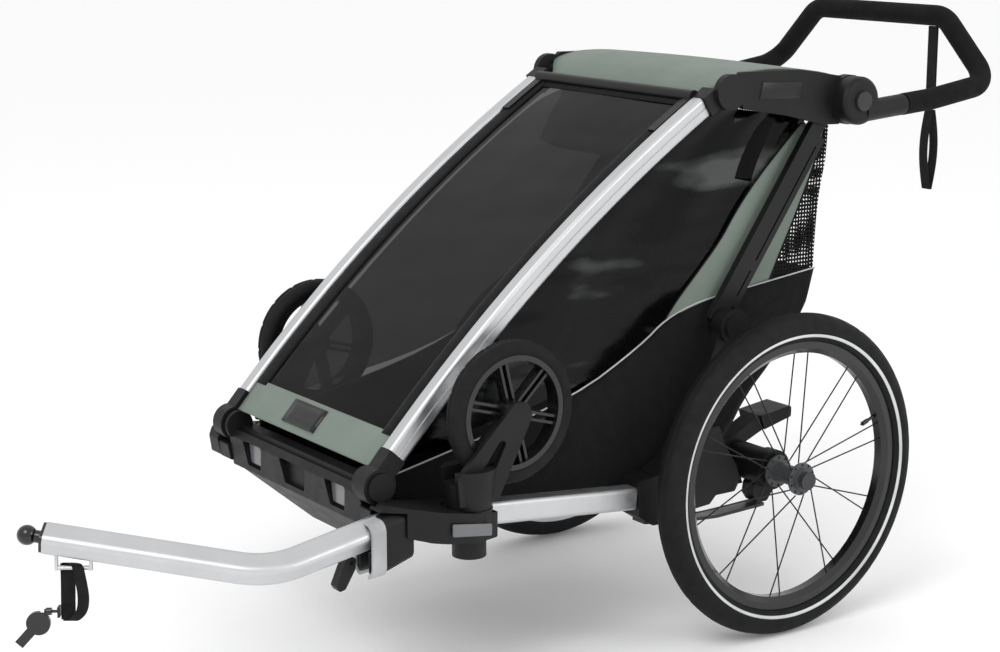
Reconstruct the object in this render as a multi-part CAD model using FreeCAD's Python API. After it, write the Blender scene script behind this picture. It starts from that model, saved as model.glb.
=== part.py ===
import FreeCAD
import Part
import math
import os

# Child bicycle trailer with a folding cabin, a tilting handlebar, sprung road
# wheels, two stowed strolling wheels and a side-mounted hitch arm.
#
# Millimetres.  +Z is up, the trailer travels towards -Y and its left side is +X.
# Everything is drawn with y = 0 at the road-wheel axle and z = 0 on the ground;
# save() then moves the origin to the middle of the floor rectangle it covers.

V = FreeCAD.Vector

# ---------------------------------------------------------------- driving sizes
WHEEL_X = 298.0                 # centre plane of each road wheel
WHEEL_RADIUS = 250.0            # 20-inch wheel with a 47 mm tyre
TYRE_SECTION = 23.5
RIM_OUTER = 208.5
RIM_INNER = 190.0
RIM_HALF_WIDTH = 14.5
SPOKE_PAIRS = 10
SPOKE_RADIUS = 1.1
FLANGE_RADIUS = 25.0
INNER_FLANGE_X = 275.5
OUTER_FLANGE_X = 327.0
AXLE_RADIUS = 7.0
RUNNING_GAP = 0.05              # radial clearance of every turning shaft

CASTER_X = 266.5                # strolling wheels, stowed upright on the front pods
STEM_Y = -565.0
CASTER_HUB = (-496.0, 416.0)
CASTER_RADIUS = 102.0
CASTER_HALF_WIDTH = 14.0
STEM_RADIUS = 9.0

PIVOT_A = (-680.0, 327.0)       # front foot of the folding frame, as (y, z)
PIVOT_B = (-71.0, 829.0)        # front tube to top panel
PIVOT_C = (165.0, 805.0)        # top panel to upright, and the handlebar's axis
PIVOT_D = (-66.0, 478.0)        # foot of the upright
SWING_PIVOT = (-78.0, 240.0)    # suspension arm

FABRIC_X = 190.5                # outer face of the fabric sides
FABRIC_T = 3.0
TUBE_X0, TUBE_X1 = 194.0, 219.0     # front tube, across
TUBE_DEPTH = 32.0                   # front tube, square to its run
TUBE_LIFT = 3.0                     # its middle at each end, above the line from A to B
TUBE_BOW = 31.0                     # and how much further it stands out half way
COVER_LIFT = 9.0                    # outer face of the front cover, above the tube's middle
UPRIGHT_X0, UPRIGHT_X1 = 206.0, 218.0
PANEL_X0, PANEL_X1 = 219.5, 229.0   # top panel skin, outside the uprights
PANEL_HUB_X1 = 234.5
MOUNT_X0, MOUNT_X1 = 218.4, 242.0   # foot bracket of the upright
KNUCKLE_X0, KNUCKLE_X1 = 235.0, 263.0
PIN_RADIUS = 8.0
TOP_PIN_RADIUS = 5.0
UPRIGHT_SET = 4.0               # the upright's tube stands this far in front of its pivots
FREE_PIVOT_GAP = 3.6            # play of the pivot that closes the folding linkage

GRIP_RADIUS = 17.0
GRIP_CORE = 12.5
GRIP_X, GRIP_CROSS_X = 249.0, 149.0
GRIP_Y, GRIP_CROSS_Z = 457.0, 917.0

ARM_WIDTH, ARM_HEIGHT = 38.0, 32.0
ARM_ROOT = V(243.5, -672.0, 281.0)
ARM_BEND = V(249.0, -867.0, 250.0)
ARM_TIP = V(81.5, -1106.5, 298.0)
ARM_BEND_RADIUS = 115.0
BALL_CENTRE = V(68.5, -1125.0, 301.7)
BALL_RADIUS = 13.5
STRAP_AT = V(102.3, -1076.7, 274.5)     # where the safety strap hangs from the arm
STRAP_WIDTH = 21.0
STRAP_DROP = 90.0
STRAP_HALF_LOOP = 20.0
HANGER_HALF = 24.5              # rod under the arm that the strap loops over
HANGER_RADIUS = 3.0
HANGER_DROP = 17.5
PIN_EYE = 35.0                  # where the pin hangs, along from the middle of the strap
PIN_EYE_DROP = 77.5
PIN_TILT = 48.0

# Distance from the middle of the overall length back to the road-wheel axle
AXLE_BEHIND_ORIGIN = ((BALL_RADIUS - BALL_CENTRE.y) - (GRIP_Y + GRIP_RADIUS)) / 2


# ---------------------------------------------------------------- drawing helpers
def box(x0, x1, y0, y1, z0, z1):
    return Part.makeBox(x1 - x0, y1 - y0, z1 - z0, V(x0, y0, z0))


def rod_x(x0, x1, centre, radius):
    """Round bar along X; centre is its (y, z)."""
    return Part.makeCylinder(radius, x1 - x0, V(x0, centre[0], centre[1]), V(1, 0, 0))


def rod_z(x, y, z0, z1, radius):
    return Part.makeCylinder(radius, z1 - z0, V(x, y, z0))


def rod(start, end, radius):
    """Round bar between two points."""
    run = end - start
    return Part.makeCylinder(radius, run.Length, start, run)


def corner_arc(before, corner, after, radius):
    """The arc that rounds a corner, and the two points where it starts and ends."""
    a = (before - corner).normalize()
    b = (after - corner).normalize()
    half = a.getAngle(b) / 2
    reach = radius / math.tan(half)
    middle = (a + b).normalize()
    top = corner + middle * (radius / math.sin(half) - radius)
    start, end = corner + a * reach, corner + b * reach
    return Part.Arc(start, top, end).toShape(), start, end


def rounded_wire(points, radius, closed=True):
    """Straight runs joined by tangent arcs; radius is one number or one per corner."""
    count = len(points)
    radii = radius if isinstance(radius, (list, tuple)) else [radius] * count
    edges = []
    here = None
    first = None
    for i, corner in enumerate(points):
        inner = closed or 0 < i < count - 1
        if inner and radii[i] > 0:
            arc, start, end = corner_arc(points[i - 1], corner, points[(i + 1) % count], radii[i])
        else:
            arc, start, end = None, corner, corner
        if here is None:
            first = start
        elif (start - here).Length > 1e-6:
            edges.append(Part.LineSegment(here, start).toShape())
        if arc is not None:
            edges.append(arc)
        here = end
    if closed and (first - here).Length > 1e-6:
        edges.append(Part.LineSegment(here, first).toShape())
    return Part.Wire(edges)


def side_plate(outline, x0, x1, radius=0.0):
    """Plate with a (y, z) outline between two x planes."""
    points = [V(x0, y, z) for y, z in outline]
    return Part.Face(rounded_wire(points, radius)).extrude(V(x1 - x0, 0, 0))


def plan_plate(outline, z0, z1, radius=0.0):
    """Plate with an (x, y) outline between two heights."""
    points = [V(x, y, z0) for x, y in outline]
    return Part.Face(rounded_wire(points, radius)).extrude(V(0, 0, z1 - z0))


def front_plate(outline, y0, y1, radius=0.0):
    """Plate with an (x, z) outline between two y planes."""
    points = [V(x, y0, z) for x, z in outline]
    return Part.Face(rounded_wire(points, radius)).extrude(V(0, y1 - y0, 0))


def strip(line, thickness, x0, x1, radius=0.0):
    """A bent sheet: the (y, z) line, thickened downwards and carried across in X."""
    lower = []
    for i, (y, z) in enumerate(line):
        before = line[max(i - 1, 0)]
        after = line[min(i + 1, len(line) - 1)]
        run = V(0, after[0] - before[0], after[1] - before[1]).normalize()
        lower.append((y + run.z * thickness, z - run.y * thickness))
    outline = list(line) + lower[::-1]
    ends = (0, len(line) - 1, len(line), 2 * len(line) - 1)
    radii = [0.0 if i in ends else radius for i in range(len(outline))]
    return side_plate(outline, x0, x1, radii)


def mirrored(shape):
    """The same piece on the trailer's right side."""
    return shape.mirror(V(0, 0, 0), V(1, 0, 0))


def both_sides(shape):
    return [shape, mirrored(shape)]


def angle_of(start, end):
    """Slope in degrees of the line between two (y, z) points."""
    return math.degrees(math.atan2(end[1] - start[1], end[0] - start[0]))


def distance(start, end):
    return math.hypot(end[0] - start[0], end[1] - start[1])


def laid_along(shape, start, end):
    """Move a piece drawn along +Y from the origin onto the line between two pivots."""
    shape.rotate(V(0, 0, 0), V(1, 0, 0), angle_of(start, end))
    shape.translate(V(0, start[0], start[1]))
    return shape


def rounded_tube(x0, x1, y0, y1, z0, z1, corner, wall):
    """Hollow rectangular tube along Y with rounded long edges."""
    def bar(inset, radius):
        outline = [(x0 + inset, z0 + inset), (x1 - inset, z0 + inset),
                   (x1 - inset, z1 - inset), (x0 + inset, z1 - inset)]
        return front_plate(outline, y0, y1, radius)
    return bar(0, corner).cut(bar(wall, corner - wall * 0.7))


def ring_x(x0, x1, centre, outer, inner):
    return rod_x(x0, x1, centre, outer).cut(rod_x(x0 - 1, x1 + 1, centre, inner))


def swept(path, profile):
    return path.makePipeShell([profile], True, False)


def save(name, solids):
    """Write one node: one piece, or a group of like pieces."""
    pieces = solids if isinstance(solids, list) else [solids]
    for piece in pieces:
        if not piece.isValid() or not piece.isClosed() or piece.Volume < 1:
            print("CHECK", name, piece.isValid(), piece.isClosed(), piece.Volume)
    shape = pieces[0].copy() if len(pieces) == 1 else Part.makeCompound(pieces)
    shape.translate(V(0, AXLE_BEHIND_ORIGIN, 0))
    shape.exportStep("parts/" + name + ".step")
    print("%-20s %2d solid(s) %9.1f cm3" % (name, len(shape.Solids), shape.Volume / 1000))


# ---------------------------------------------------------------- road wheels
def tyre():
    """Clincher tyre: a round section, open towards the rim."""
    major = WHEEL_RADIUS - TYRE_SECTION
    centre, axis = V(WHEEL_X, 0, WHEEL_RADIUS), V(1, 0, 0)
    outer = Part.makeTorus(major, TYRE_SECTION, centre, axis)
    air = Part.makeTorus(major, TYRE_SECTION - 4.0, centre, axis)
    seat = rod_x(WHEEL_X - 40, WHEEL_X + 40, (0, WHEEL_RADIUS), RIM_OUTER + 0.3)
    return outer.cut(seat).cut(air)


def rim():
    """Rim with a flat inner face, sloping shoulders and a channel for the tyre."""
    w = RIM_HALF_WIDTH
    section = [(WHEEL_X - 7, RIM_INNER), (WHEEL_X + 7, RIM_INNER), (WHEEL_X + w, RIM_INNER + 8),
               (WHEEL_X + w, RIM_OUTER), (WHEEL_X + w - 2.5, RIM_OUTER),
               (WHEEL_X + w - 2.5, RIM_OUTER - 7), (WHEEL_X - w + 2.5, RIM_OUTER - 7),
               (WHEEL_X - w + 2.5, RIM_OUTER), (WHEEL_X - w, RIM_OUTER), (WHEEL_X - w, RIM_INNER + 8)]
    points = [V(x, 0, WHEEL_RADIUS + r) for x, r in section]
    face = Part.Face(rounded_wire(points, 0.0))
    return face.revolve(V(0, 0, WHEEL_RADIUS), V(1, 0, 0), 360)


def wheel_point(x, radius, degrees):
    turn = math.radians(degrees)
    return V(x, radius * math.sin(turn), WHEEL_RADIUS + radius * math.cos(turn))


def spokes():
    """Ten pairs; in each pair one spoke runs from each flange and the two cross."""
    hub_radius = FLANGE_RADIUS + 1.4
    rim_radius = RIM_INNER - 0.4
    pieces = []
    for pair in range(SPOKE_PAIRS):
        centre = 360.0 / SPOKE_PAIRS * pair + 6.0
        for flange_x, side in ((OUTER_FLANGE_X, 1), (INNER_FLANGE_X, -1)):
            start = wheel_point(flange_x, hub_radius, centre - 20.0 * side)
            end = wheel_point(WHEEL_X + 2.0 * side, rim_radius, centre + 3.6 * side)
            pieces.append(rod(start, end, SPOKE_RADIUS))
    return pieces


def hub():
    """Two flanges on a barrel, bored for the axle."""
    axis = (0, WHEEL_RADIUS)
    barrel = rod_x(INNER_FLANGE_X, OUTER_FLANGE_X, axis, 15.0)
    body = barrel.fuse(rod_x(INNER_FLANGE_X - 2, INNER_FLANGE_X + 2, axis, FLANGE_RADIUS))
    body = body.fuse(rod_x(OUTER_FLANGE_X - 2, OUTER_FLANGE_X + 2, axis, FLANGE_RADIUS))
    body = body.fuse(rod_x(OUTER_FLANGE_X, OUTER_FLANGE_X + 7, axis, 17.0))
    body = body.cut(rod_x(INNER_FLANGE_X - 5, OUTER_FLANGE_X + 10, axis, AXLE_RADIUS + RUNNING_GAP))
    for number in range(SPOKE_PAIRS):
        at = wheel_point(0, FLANGE_RADIUS - 3.2, 360.0 / SPOKE_PAIRS * number)
        for x in (INNER_FLANGE_X, OUTER_FLANGE_X):
            body = body.cut(rod_x(x - 3, x + 3, (at.y, at.z), 2.0))
    return body.removeSplitter()


# ---------------------------------------------------------------- suspension
HOUSING_X0, HOUSING_X1 = 184.0, 268.0
BUTTON_STEM = 4.5


def wheel_axle():
    """Plug-in axle: held in the housing, hollow at its outer end for the release button."""
    axis = (0, WHEEL_RADIUS)
    axle = rod_x(HOUSING_X0 + 20, OUTER_FLANGE_X + 9, axis, AXLE_RADIUS)
    axle = axle.fuse(rod_x(HOUSING_X1 + 0.3, HOUSING_X1 + 4.0, axis, 12.0))
    hollow = rod_x(OUTER_FLANGE_X - 23, OUTER_FLANGE_X + 10, axis, BUTTON_STEM + RUNNING_GAP)
    return axle.cut(hollow)


def axle_button():
    """Release button: a round cap over the hub's end with a stem in the hollow axle."""
    axis = (0, WHEEL_RADIUS)
    stem = rod_x(OUTER_FLANGE_X - 17, OUTER_FLANGE_X + 14, axis, BUTTON_STEM)
    cap = rod_x(OUTER_FLANGE_X + 13.5, OUTER_FLANGE_X + 17.5, axis, 14.0)
    return stem.fuse(cap).removeSplitter()


def axle_housing():
    """Round housing that takes the axle, with a stepped collar towards the wheel."""
    axis = (0, WHEEL_RADIUS)
    body = rod_x(HOUSING_X0, HOUSING_X1 - 16, axis, 28.0)
    body = body.fuse(rod_x(HOUSING_X1 - 22, HOUSING_X1, axis, 31.0))
    lug = side_plate([(-15, 226), (15, 226), (22, 206), (12, 192), (-8, 192), (-18, 206)],
                     HOUSING_X0 + 30, HOUSING_X0 + 56, 6.0)
    body = body.fuse(lug)
    body = body.cut(rod_x(HOUSING_X0 + 19, HOUSING_X1 + 1, axis, AXLE_RADIUS + RUNNING_GAP))
    return body.removeSplitter()


def swing_arm():
    """Flat trailing arm from the suspension pivot to the underside of the housing."""
    outline = [(-96, 240), (-84, 258), (-66, 252), (-34, 240), (-31, 219), (-70, 222)]
    arm = side_plate(outline, 196.4, 222, 6.0)
    arm = arm.fuse(side_plate([(-36, 219), (-36, 238), (-27.5, 238), (-20, 229.5), (-16, 219)], 196.4, 213.7))
    arm = arm.cut(rod_x(HOUSING_X0, HOUSING_X1, (0, WHEEL_RADIUS), 28.3))
    return arm.cut(rod_x(190, 230, SWING_PIVOT, PIN_RADIUS + RUNNING_GAP)).removeSplitter()


def leaf_spring():
    """Blade from the frame bracket to just under the housing's lug."""
    line = [(-232, 203), (-170, 193), (-90, 187), (6, 190)]
    return strip(line, 5.0, 212, 240, 60.0)


# ---------------------------------------------------------------- chassis
RAIL_FRONT, RAIL_REAR = (-524.0, 266.5), (-252.0, 241.0)
BEAM_AXIS = (-128.0, 231.0)
BEAM_RADIUS = 15.0
SOCKET_RADIUS = 9.0             # lower socket of each pod, for an accessory's stem
SOCKET_DEPTH = 28.0
POD_BOTTOM = 222.0
POD_TOP = 292.0
FORK_SEAT_RADIUS = 38.0         # widest part of the strolling wheel's fork base
FOOT_RADIUS = 26.0              # round foot of the front tube
BUMPER_HALF = 190.0
EAR_WIDTH = 8.0                 # bumper's ears, which the pins of the front tubes enter
BUMPER_WINDOWS = ((-150, -92), (-38, 38), (92, 150))


def side_rail():
    length = distance(RAIL_FRONT, RAIL_REAR)
    return laid_along(rounded_tube(214, 246, 0, length, -17, 17, 7.0, 2.5), RAIL_FRONT, RAIL_REAR)


def rear_bracket():
    """Casting at the rail's rear end; it carries the beam, the spring and the swing arm."""
    outline = [(-249.5, 268), (-249.5, 214), (-222, 196), (-186, 196), (-168, 206), (-112, 210),
               (-100, 222), (-62, 222), (-52, 240), (-60, 262), (-84, 300), (-96, 330),
               (-150, 330), (-186, 286), (-215, 272)]
    body = side_plate(outline, 206, 248, 5.0)
    body = body.cut(box(211, 241, -240, 20, 180, 204.5))
    slot = side_plate([(-108, 200), (-108, 262), (-70, 278), (-20, 262), (-20, 200)], 195.5, 222.5)
    body = body.cut(slot)
    pin = rod_x(196.2, 224, SWING_PIVOT, PIN_RADIUS)
    boss = rod_x(186, 196.2, SWING_PIVOT, 14.0)
    return body, pin.fuse(boss)


def axle_beam():
    """Cross beam between the rear brackets."""
    tube = rod_x(-205.8, 205.8, BEAM_AXIS, BEAM_RADIUS)
    return tube.cut(rod_x(-206.5, 206.5, BEAM_AXIS, BEAM_RADIUS - 2.5))


def front_pod():
    """Moulded pod that holds the strolling wheel's stem above and has a free socket below."""
    side = [(-527, 248), (-527, 283), (-560, 289), (-690, 311), (-699, 300), (-692, 272),
            (-640, 258), (-580, 250)]
    plan = [(222, -702), (246, -702), (272, -672), (298, -622), (302, -572), (288, -527), (222, -527)]
    body = side_plate(side, 222, 310, [6, 8, 20, 6, 4, 6, 0, 20])
    body = body.common(plan_plate(plan, 200, 330, [0, 8, 60, 60, 30, 16, 0]))
    root = [(-527, 250), (-527, 282), (-640, 296), (-697, 297), (-692, 272), (-640, 258), (-580, 252)]
    body = body.fuse(side_plate(root, 192, 223, 2.0))
    body = body.fuse(rod_z(CASTER_X, STEM_Y, POD_BOTTOM, 262, 24.0))
    body = body.fuse(rod_z(CASTER_X, STEM_Y, 260, POD_TOP, 33.0))
    body = body.cut(rod_z(CASTER_X, STEM_Y, POD_BOTTOM - 1, POD_BOTTOM + SOCKET_DEPTH, SOCKET_RADIUS))
    body = body.cut(rod_z(CASTER_X, STEM_Y, 253, 300, STEM_RADIUS + RUNNING_GAP))
    body = body.cut(rod_z(CASTER_X, STEM_Y, POD_TOP, 330, FORK_SEAT_RADIUS + 1.0))
    body = body.cut(rod_x(180, 232, PIVOT_A, FOOT_RADIUS + 0.8))
    return body.removeSplitter()


def arm_recess():
    """Room under the left pod for the arm's root and its receiver."""
    return box(221, 273, -760, -640, 190, 301.0)


def front_bumper():
    """Cross moulding under the front panel, with three windows and a sloping skirt."""
    beam = side_plate([(-688, 264), (-694, 312), (-684, 324), (-650, 324), (-650, 292), (-668, 264)],
                      -BUMPER_HALF, BUMPER_HALF, [4, 6, 6, 4, 4, 4])
    for x0, x1 in BUMPER_WINDOWS:
        window = front_plate([(x0, 312), (x1, 312), (x1 - 10, 275), (x0 + 10, 275)], -700, -682, 4.0)
        beam = beam.cut(window)
    skirt = side_plate([(-685, 265), (-668, 265), (-596, 196), (-606, 190)], -186, 186)
    taper = front_plate([(-176, 268), (176, 268), (90, 186), (-90, 186)], -700, -560)
    body = beam.fuse(skirt.common(taper))
    for x in (BUMPER_HALF - EAR_WIDTH, -BUMPER_HALF):
        body = body.fuse(rod_x(x, x + EAR_WIDTH, PIVOT_A, 22.0))
    hole = rod_x(-BUMPER_HALF - 1, BUMPER_HALF + 1, PIVOT_A, PIN_RADIUS + RUNNING_GAP)
    return body.cut(hole).removeSplitter()


def pivot_cap():
    """Cap and pin at the foot of the front tube."""
    return rod_x(221.4, 226.0, PIVOT_A, 20.0).fuse(rod_x(BUMPER_HALF - EAR_WIDTH, 221.4, PIVOT_A, PIN_RADIUS))


def upright_mount():
    """Bracket that rises from the rear casting and carries the upright's pin."""
    y, z = PIVOT_D
    web = side_plate([(-150, 330.3), (-96, 330.3), (y + 20, z - 10), (y + 6, z + 14),
                      (y - 20, z + 4), (-118, 400)], MOUNT_X0, MOUNT_X1 - 6)
    head = rod_x(MOUNT_X0, MOUNT_X1, PIVOT_D, 26.0)
    pin = rod_x(UPRIGHT_X0, MOUNT_X0, PIVOT_D, PIN_RADIUS)
    return web.fuse(head).fuse(pin).removeSplitter()


def upright_cap():
    return rod_x(MOUNT_X1, MOUNT_X1 + 4, PIVOT_D, 17.0)


def bumper_reflector(x0, x1):
    return front_plate([(x0, 307), (x1, 307), (x1 - 6, 279), (x0 + 6, 279)], -684.4, -682.2, 2.0)


def pod_reflector():
    return side_plate([(-616, 266), (-616, 284), (-552, 274), (-552, 257)], 302.2, 303.7, 2.0)


# ---------------------------------------------------------------- fabric and seat
PIPING = [(-640, 331), (-541, 351), (-331, 396), (-205, 458), (-158, 493), (-90, 513),
          (-4, 522), (143, 539)]
TUB_BACK = [(143, 539), (124, 471), (57, 397), (7, 351), (-32, 293), (-80, 258)]
TUB_FLOOR = [(-80, 258), (-230, 246), (-330, 228), (-450, 221), (-560, 236), (-640, 268)]
SIDE_TOP = [(158, 800), (166, 724), (147, 645)]


def tub():
    """Sewn lower body: two sides, a floor that sags a little and a back."""
    outline = PIPING + TUB_BACK[1:] + TUB_FLOOR[1:]
    side = side_plate(outline, FABRIC_X - FABRIC_T, FABRIC_X)
    inner = FABRIC_X - FABRIC_T - 0.3
    floor = strip(TUB_FLOOR[::-1], -FABRIC_T, -inner, inner)
    back = strip([(y - 1.0, z) for y, z in TUB_BACK[:-1]], -FABRIC_T, -inner, inner)
    return both_sides(side) + [floor, back]


def side_window():
    """Upper side of the cabin, from the piping to the roof."""
    lower = [(y, z + 0.5) for y, z in PIPING]
    outline = lower[::-1] + [(-634, 346), (-96, 790), (-56, 838), (60, 842), (140, 822)] + SIDE_TOP
    return side_plate(outline, FABRIC_X - FABRIC_T, FABRIC_X)


def rear_mesh():
    inner = FABRIC_X - FABRIC_T - 0.3
    return strip([(157, 800), (165, 724), (146, 645), (142, 542)], FABRIC_T, -inner, inner)


def seat_base():
    outline = [(-420, 288), (-424, 318), (-395, 338), (-134, 322), (-126, 300), (-150, 284)]
    return side_plate(outline, -174, 174, [6, 10, 14, 8, 6, 6])


def seat_back():
    outline = [(-120, 324), (-96, 316), (84, 786), (60, 796)]
    return side_plate(outline, -174, 174, [4, 4, 10, 10])


def harness():
    """Two shoulder straps, two hip straps, a crotch strap and a buckle."""
    up = V(0, 60 + 120, 796 - 324).normalize()
    face = V(0, -120, 324) + V(0, -up.z, up.y) * 1.0
    lean = angle_of((-120, 324), (60, 796))

    def strap(x, low, high, width, thick):
        piece = box(x - width / 2, x + width / 2, low, high, 0.3, thick)
        piece.rotate(V(0, 0, 0), V(1, 0, 0), lean)
        piece.translate(face)
        return piece
    shoulders = [strap(x, 150, 400, 34, 7.0) for x in (-48, 48)]
    buckle = strap(0, 96, 146, 46, 14.0)
    crotch = strap(0, 24, 95, 26, 4.0)
    hips = [strap(x, 40, 66, 96, 4.0) for x in (-92, 92)]
    return shoulders + [buckle, crotch] + hips


# ---------------------------------------------------------------- folding frame
SPAN_AB = distance(PIVOT_A, PIVOT_B)
SPAN_BC = distance(PIVOT_B, PIVOT_C)
SPAN_DC = distance(PIVOT_D, PIVOT_C)
HEAD_X0, HEAD_X1 = 219.5, 231.0     # round head of the front tube's upper casting


def tube_middle(s):
    """Height of the front tube's middle above the line from A to B, at a distance s along it."""
    return TUBE_LIFT + TUBE_BOW * 4 * (s / SPAN_AB) * (1 - s / SPAN_AB)


def tube_corners(s):
    """Lower and upper corner of the front tube's square-cut end at a distance s."""
    slope = math.atan(TUBE_BOW * 4 / SPAN_AB * (1 - 2 * s / SPAN_AB))
    lean, rise = math.sin(slope) * TUBE_DEPTH / 2, math.cos(slope) * TUBE_DEPTH / 2
    return (s + lean, tube_middle(s) - rise), (s - lean, tube_middle(s) + rise)


def front_tube():
    """Gently bowed rectangular extrusion with a groove along its outer side."""
    start, middle, end = [V(0, s, tube_middle(s)) for s in (48, SPAN_AB / 2, SPAN_AB - 44)]
    arc = Part.Wire(Part.Arc(start, middle, end).toShape())
    slope = arc.Edges[0].tangentAt(arc.Edges[0].FirstParameter)
    up = V(0, -slope.z, slope.y)

    def bar(inset, corner):
        half = TUBE_DEPTH / 2 - inset
        x0, x1 = TUBE_X0 + inset, TUBE_X1 - inset
        corners = [(x0, -half), (x1, -half), (x1, half), (x0, half)]
        return swept(arc, rounded_wire([start + V(x, 0, 0) + up * n for x, n in corners], corner))
    groove = [start + V(x, 0, 0) + up * n for x, n in
              ((TUBE_X1 - 1.2, -1), (TUBE_X1 + 1, -1), (TUBE_X1 + 1, 1), (TUBE_X1 - 1.2, 1))]
    tube = bar(0, 6.0).cut(bar(2.5, 4.0)).cut(swept(arc, rounded_wire(groove, 0.0)))
    return laid_along(tube, PIVOT_A, PIVOT_B)


def tube_fittings():
    """Foot and head castings of the front tube."""
    low, high = tube_corners(47.2)
    foot = side_plate([(0, -11), low, high, (0, 19)], TUBE_X0 + 0.5, TUBE_X1)
    foot = foot.fuse(rod_x(TUBE_X0 + 0.5, TUBE_X1 + 2, (0, 0), FOOT_RADIUS))
    foot = foot.cut(rod_x(180, 240, (0, 0), PIN_RADIUS + RUNNING_GAP))
    low, high = tube_corners(SPAN_AB - 43.2)
    side = [low, (SPAN_AB - 16, -8), (SPAN_AB - 16, 22), high]
    head = side_plate(side, TUBE_X0, TUBE_X1).fuse(side_plate(side, TUBE_X1 - 6, HEAD_X0 + 4))
    head = head.fuse(rod_x(HEAD_X0, HEAD_X1, (SPAN_AB, 0), 27.0))
    head = head.cut(rod_x(190, HEAD_X0, (SPAN_AB, 0), 16.0))
    head = head.fuse(rod_x(206.5, HEAD_X0 + 2, (SPAN_AB, 0), TOP_PIN_RADIUS))
    return [laid_along(piece.removeSplitter(), PIVOT_A, PIVOT_B) for piece in (foot, head)]


def front_bar():
    """Roll bar across the top of the front window, with a flat leg down each side."""
    bar = rod_x(-TUBE_X0 + 0.3, TUBE_X0 - 0.3, (SPAN_AB - 36, 22), 9.0)
    leg = strip([(s, tube_middle(s) + COVER_LIFT + 6) for s in (SPAN_AB - 122, SPAN_AB - 80, SPAN_AB - 40)],
                4.0, TUBE_X0 - 17, TUBE_X0 - 1)
    bar = bar.fuse(leg).fuse(mirrored(leg)).removeSplitter()
    return laid_along(bar, PIVOT_A, PIVOT_B)


def front_cover(low, high, half_width, thickness):
    """Length of the front cover, hung between the two front tubes and bowed with them."""
    steps = 8
    line = [low + (high - low) * i / steps for i in range(steps + 1)]
    sheet = strip([(s, tube_middle(s) + COVER_LIFT) for s in line], thickness, -half_width, half_width)
    return laid_along(sheet, PIVOT_A, PIVOT_B)


def top_panel():
    """Side moulding of the roof: round seat for the tube head, round hub at the rear."""
    outline = [(-56, 858), (64, 856), (150, 842), (166, 820), (150, 768), (118, 769),
               (44, 787), (-48, 803)]
    skin = side_plate(outline, PANEL_X0, PANEL_X1, [6, 60, 8, 0, 4, 20, 60, 6])
    skin = skin.fuse(rod_x(PANEL_X0, PANEL_HUB_X1, PIVOT_C, 38.0))
    skin = skin.cut(rod_x(200, 260, PIVOT_B, 27.6))
    eye = rod_x(207, PANEL_X0 - 0.5, (0, 0), 11.0).fuse(box(207, PANEL_X0 - 0.5, 0, 40, -4, 12))
    eye = eye.fuse(box(207, PANEL_X0 + 4, 31, 46, -4, 12))
    eye = eye.cut(rod_x(200, 230, (0, 0), TOP_PIN_RADIUS + RUNNING_GAP))
    skin = skin.fuse(laid_along(eye, PIVOT_B, PIVOT_C))
    pin = rod_x(UPRIGHT_X0 - 2, PANEL_X0 + 2, PIVOT_C, TOP_PIN_RADIUS)
    return skin.fuse(pin).removeSplitter()


def roof():
    """Crowned fabric roof between the two side mouldings."""
    line = [(-54, 863), (-10, 866), (60, 862), (140, 848), (162, 834)]
    return strip(line, 4.0, -PANEL_X0 + 0.3, PANEL_X0 - 0.3)


def upright():
    """Flat tube with a slim second rail behind it and an eye at each end."""
    x0, x1 = UPRIGHT_X0, UPRIGHT_X1
    body = box(x0, x1, -6, SPAN_DC - 26, UPRIGHT_SET, UPRIGHT_SET + 26)
    body = body.fuse(side_plate([(SPAN_DC - 27, UPRIGHT_SET), (SPAN_DC - 27, UPRIGHT_SET + 26),
                                 (SPAN_DC + 4, 14), (SPAN_DC + 10, -10)], x0, x1))
    body = body.fuse(box(x0 + 2, x1, 30, SPAN_DC - 70, UPRIGHT_SET - 12, UPRIGHT_SET - 3))
    for s in (30, 92, SPAN_DC - 88):
        body = body.fuse(box(x0 + 2, x1, s, s + 18, UPRIGHT_SET - 4, UPRIGHT_SET + 1))
    body = body.fuse(rod_x(x0, x1, (0, 0), 21.0))
    body = body.fuse(rod_x(x0, x1, (SPAN_DC, 0), 17.0))
    body = body.cut(rod_x(190, 240, (0, 0), PIN_RADIUS + RUNNING_GAP))
    body = body.cut(rod_x(190, 240, (SPAN_DC, 0), TOP_PIN_RADIUS + FREE_PIVOT_GAP))
    return laid_along(body.removeSplitter(), PIVOT_D, PIVOT_C)


# ---------------------------------------------------------------- handlebar
def handlebar_points():
    left = [V(GRIP_X, 208, 789.5), V(GRIP_X, 330, 798), V(GRIP_X, GRIP_Y, 816),
            V(GRIP_CROSS_X, GRIP_Y, GRIP_CROSS_Z)]
    return left + [V(-p.x, p.y, p.z) for p in reversed(left)]


def handlebar_pipe(radius):
    points = handlebar_points()
    path = rounded_wire(points, [0, 200, 42, 46, 46, 42, 200, 0], closed=False)
    circle = Part.makeCircle(radius, points[0], points[1] - points[0])
    return swept(path, Part.Wire(circle))


def handlebar_knuckle():
    """Round end of the handlebar that turns on the outside of the top panel's hub."""
    disc = rod_x(KNUCKLE_X0, KNUCKLE_X1, PIVOT_C, 37.0)
    disc = disc.makeFillet(9.0, [e for e in disc.Edges if abs(e.CenterOfMass.x - KNUCKLE_X1) < 0.01
                                 and e.Length > 100])
    start = V(GRIP_X, 176, 787.2)
    end = V(GRIP_X, 262, 793.3)
    disc = disc.fuse(rod(start, end, GRIP_RADIUS - 0.6).common(box(KNUCKLE_X0, 300, 100, 400, 700, 900)))
    bore = rod(V(GRIP_X, 206, 789.4), V(GRIP_X, 280, 794.5), GRIP_CORE + 0.1)
    button = rod_x(KNUCKLE_X1 - 9, KNUCKLE_X1 + 1, PIVOT_C, 15.0 + RUNNING_GAP)
    return disc.cut(bore).cut(button).removeSplitter()


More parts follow.
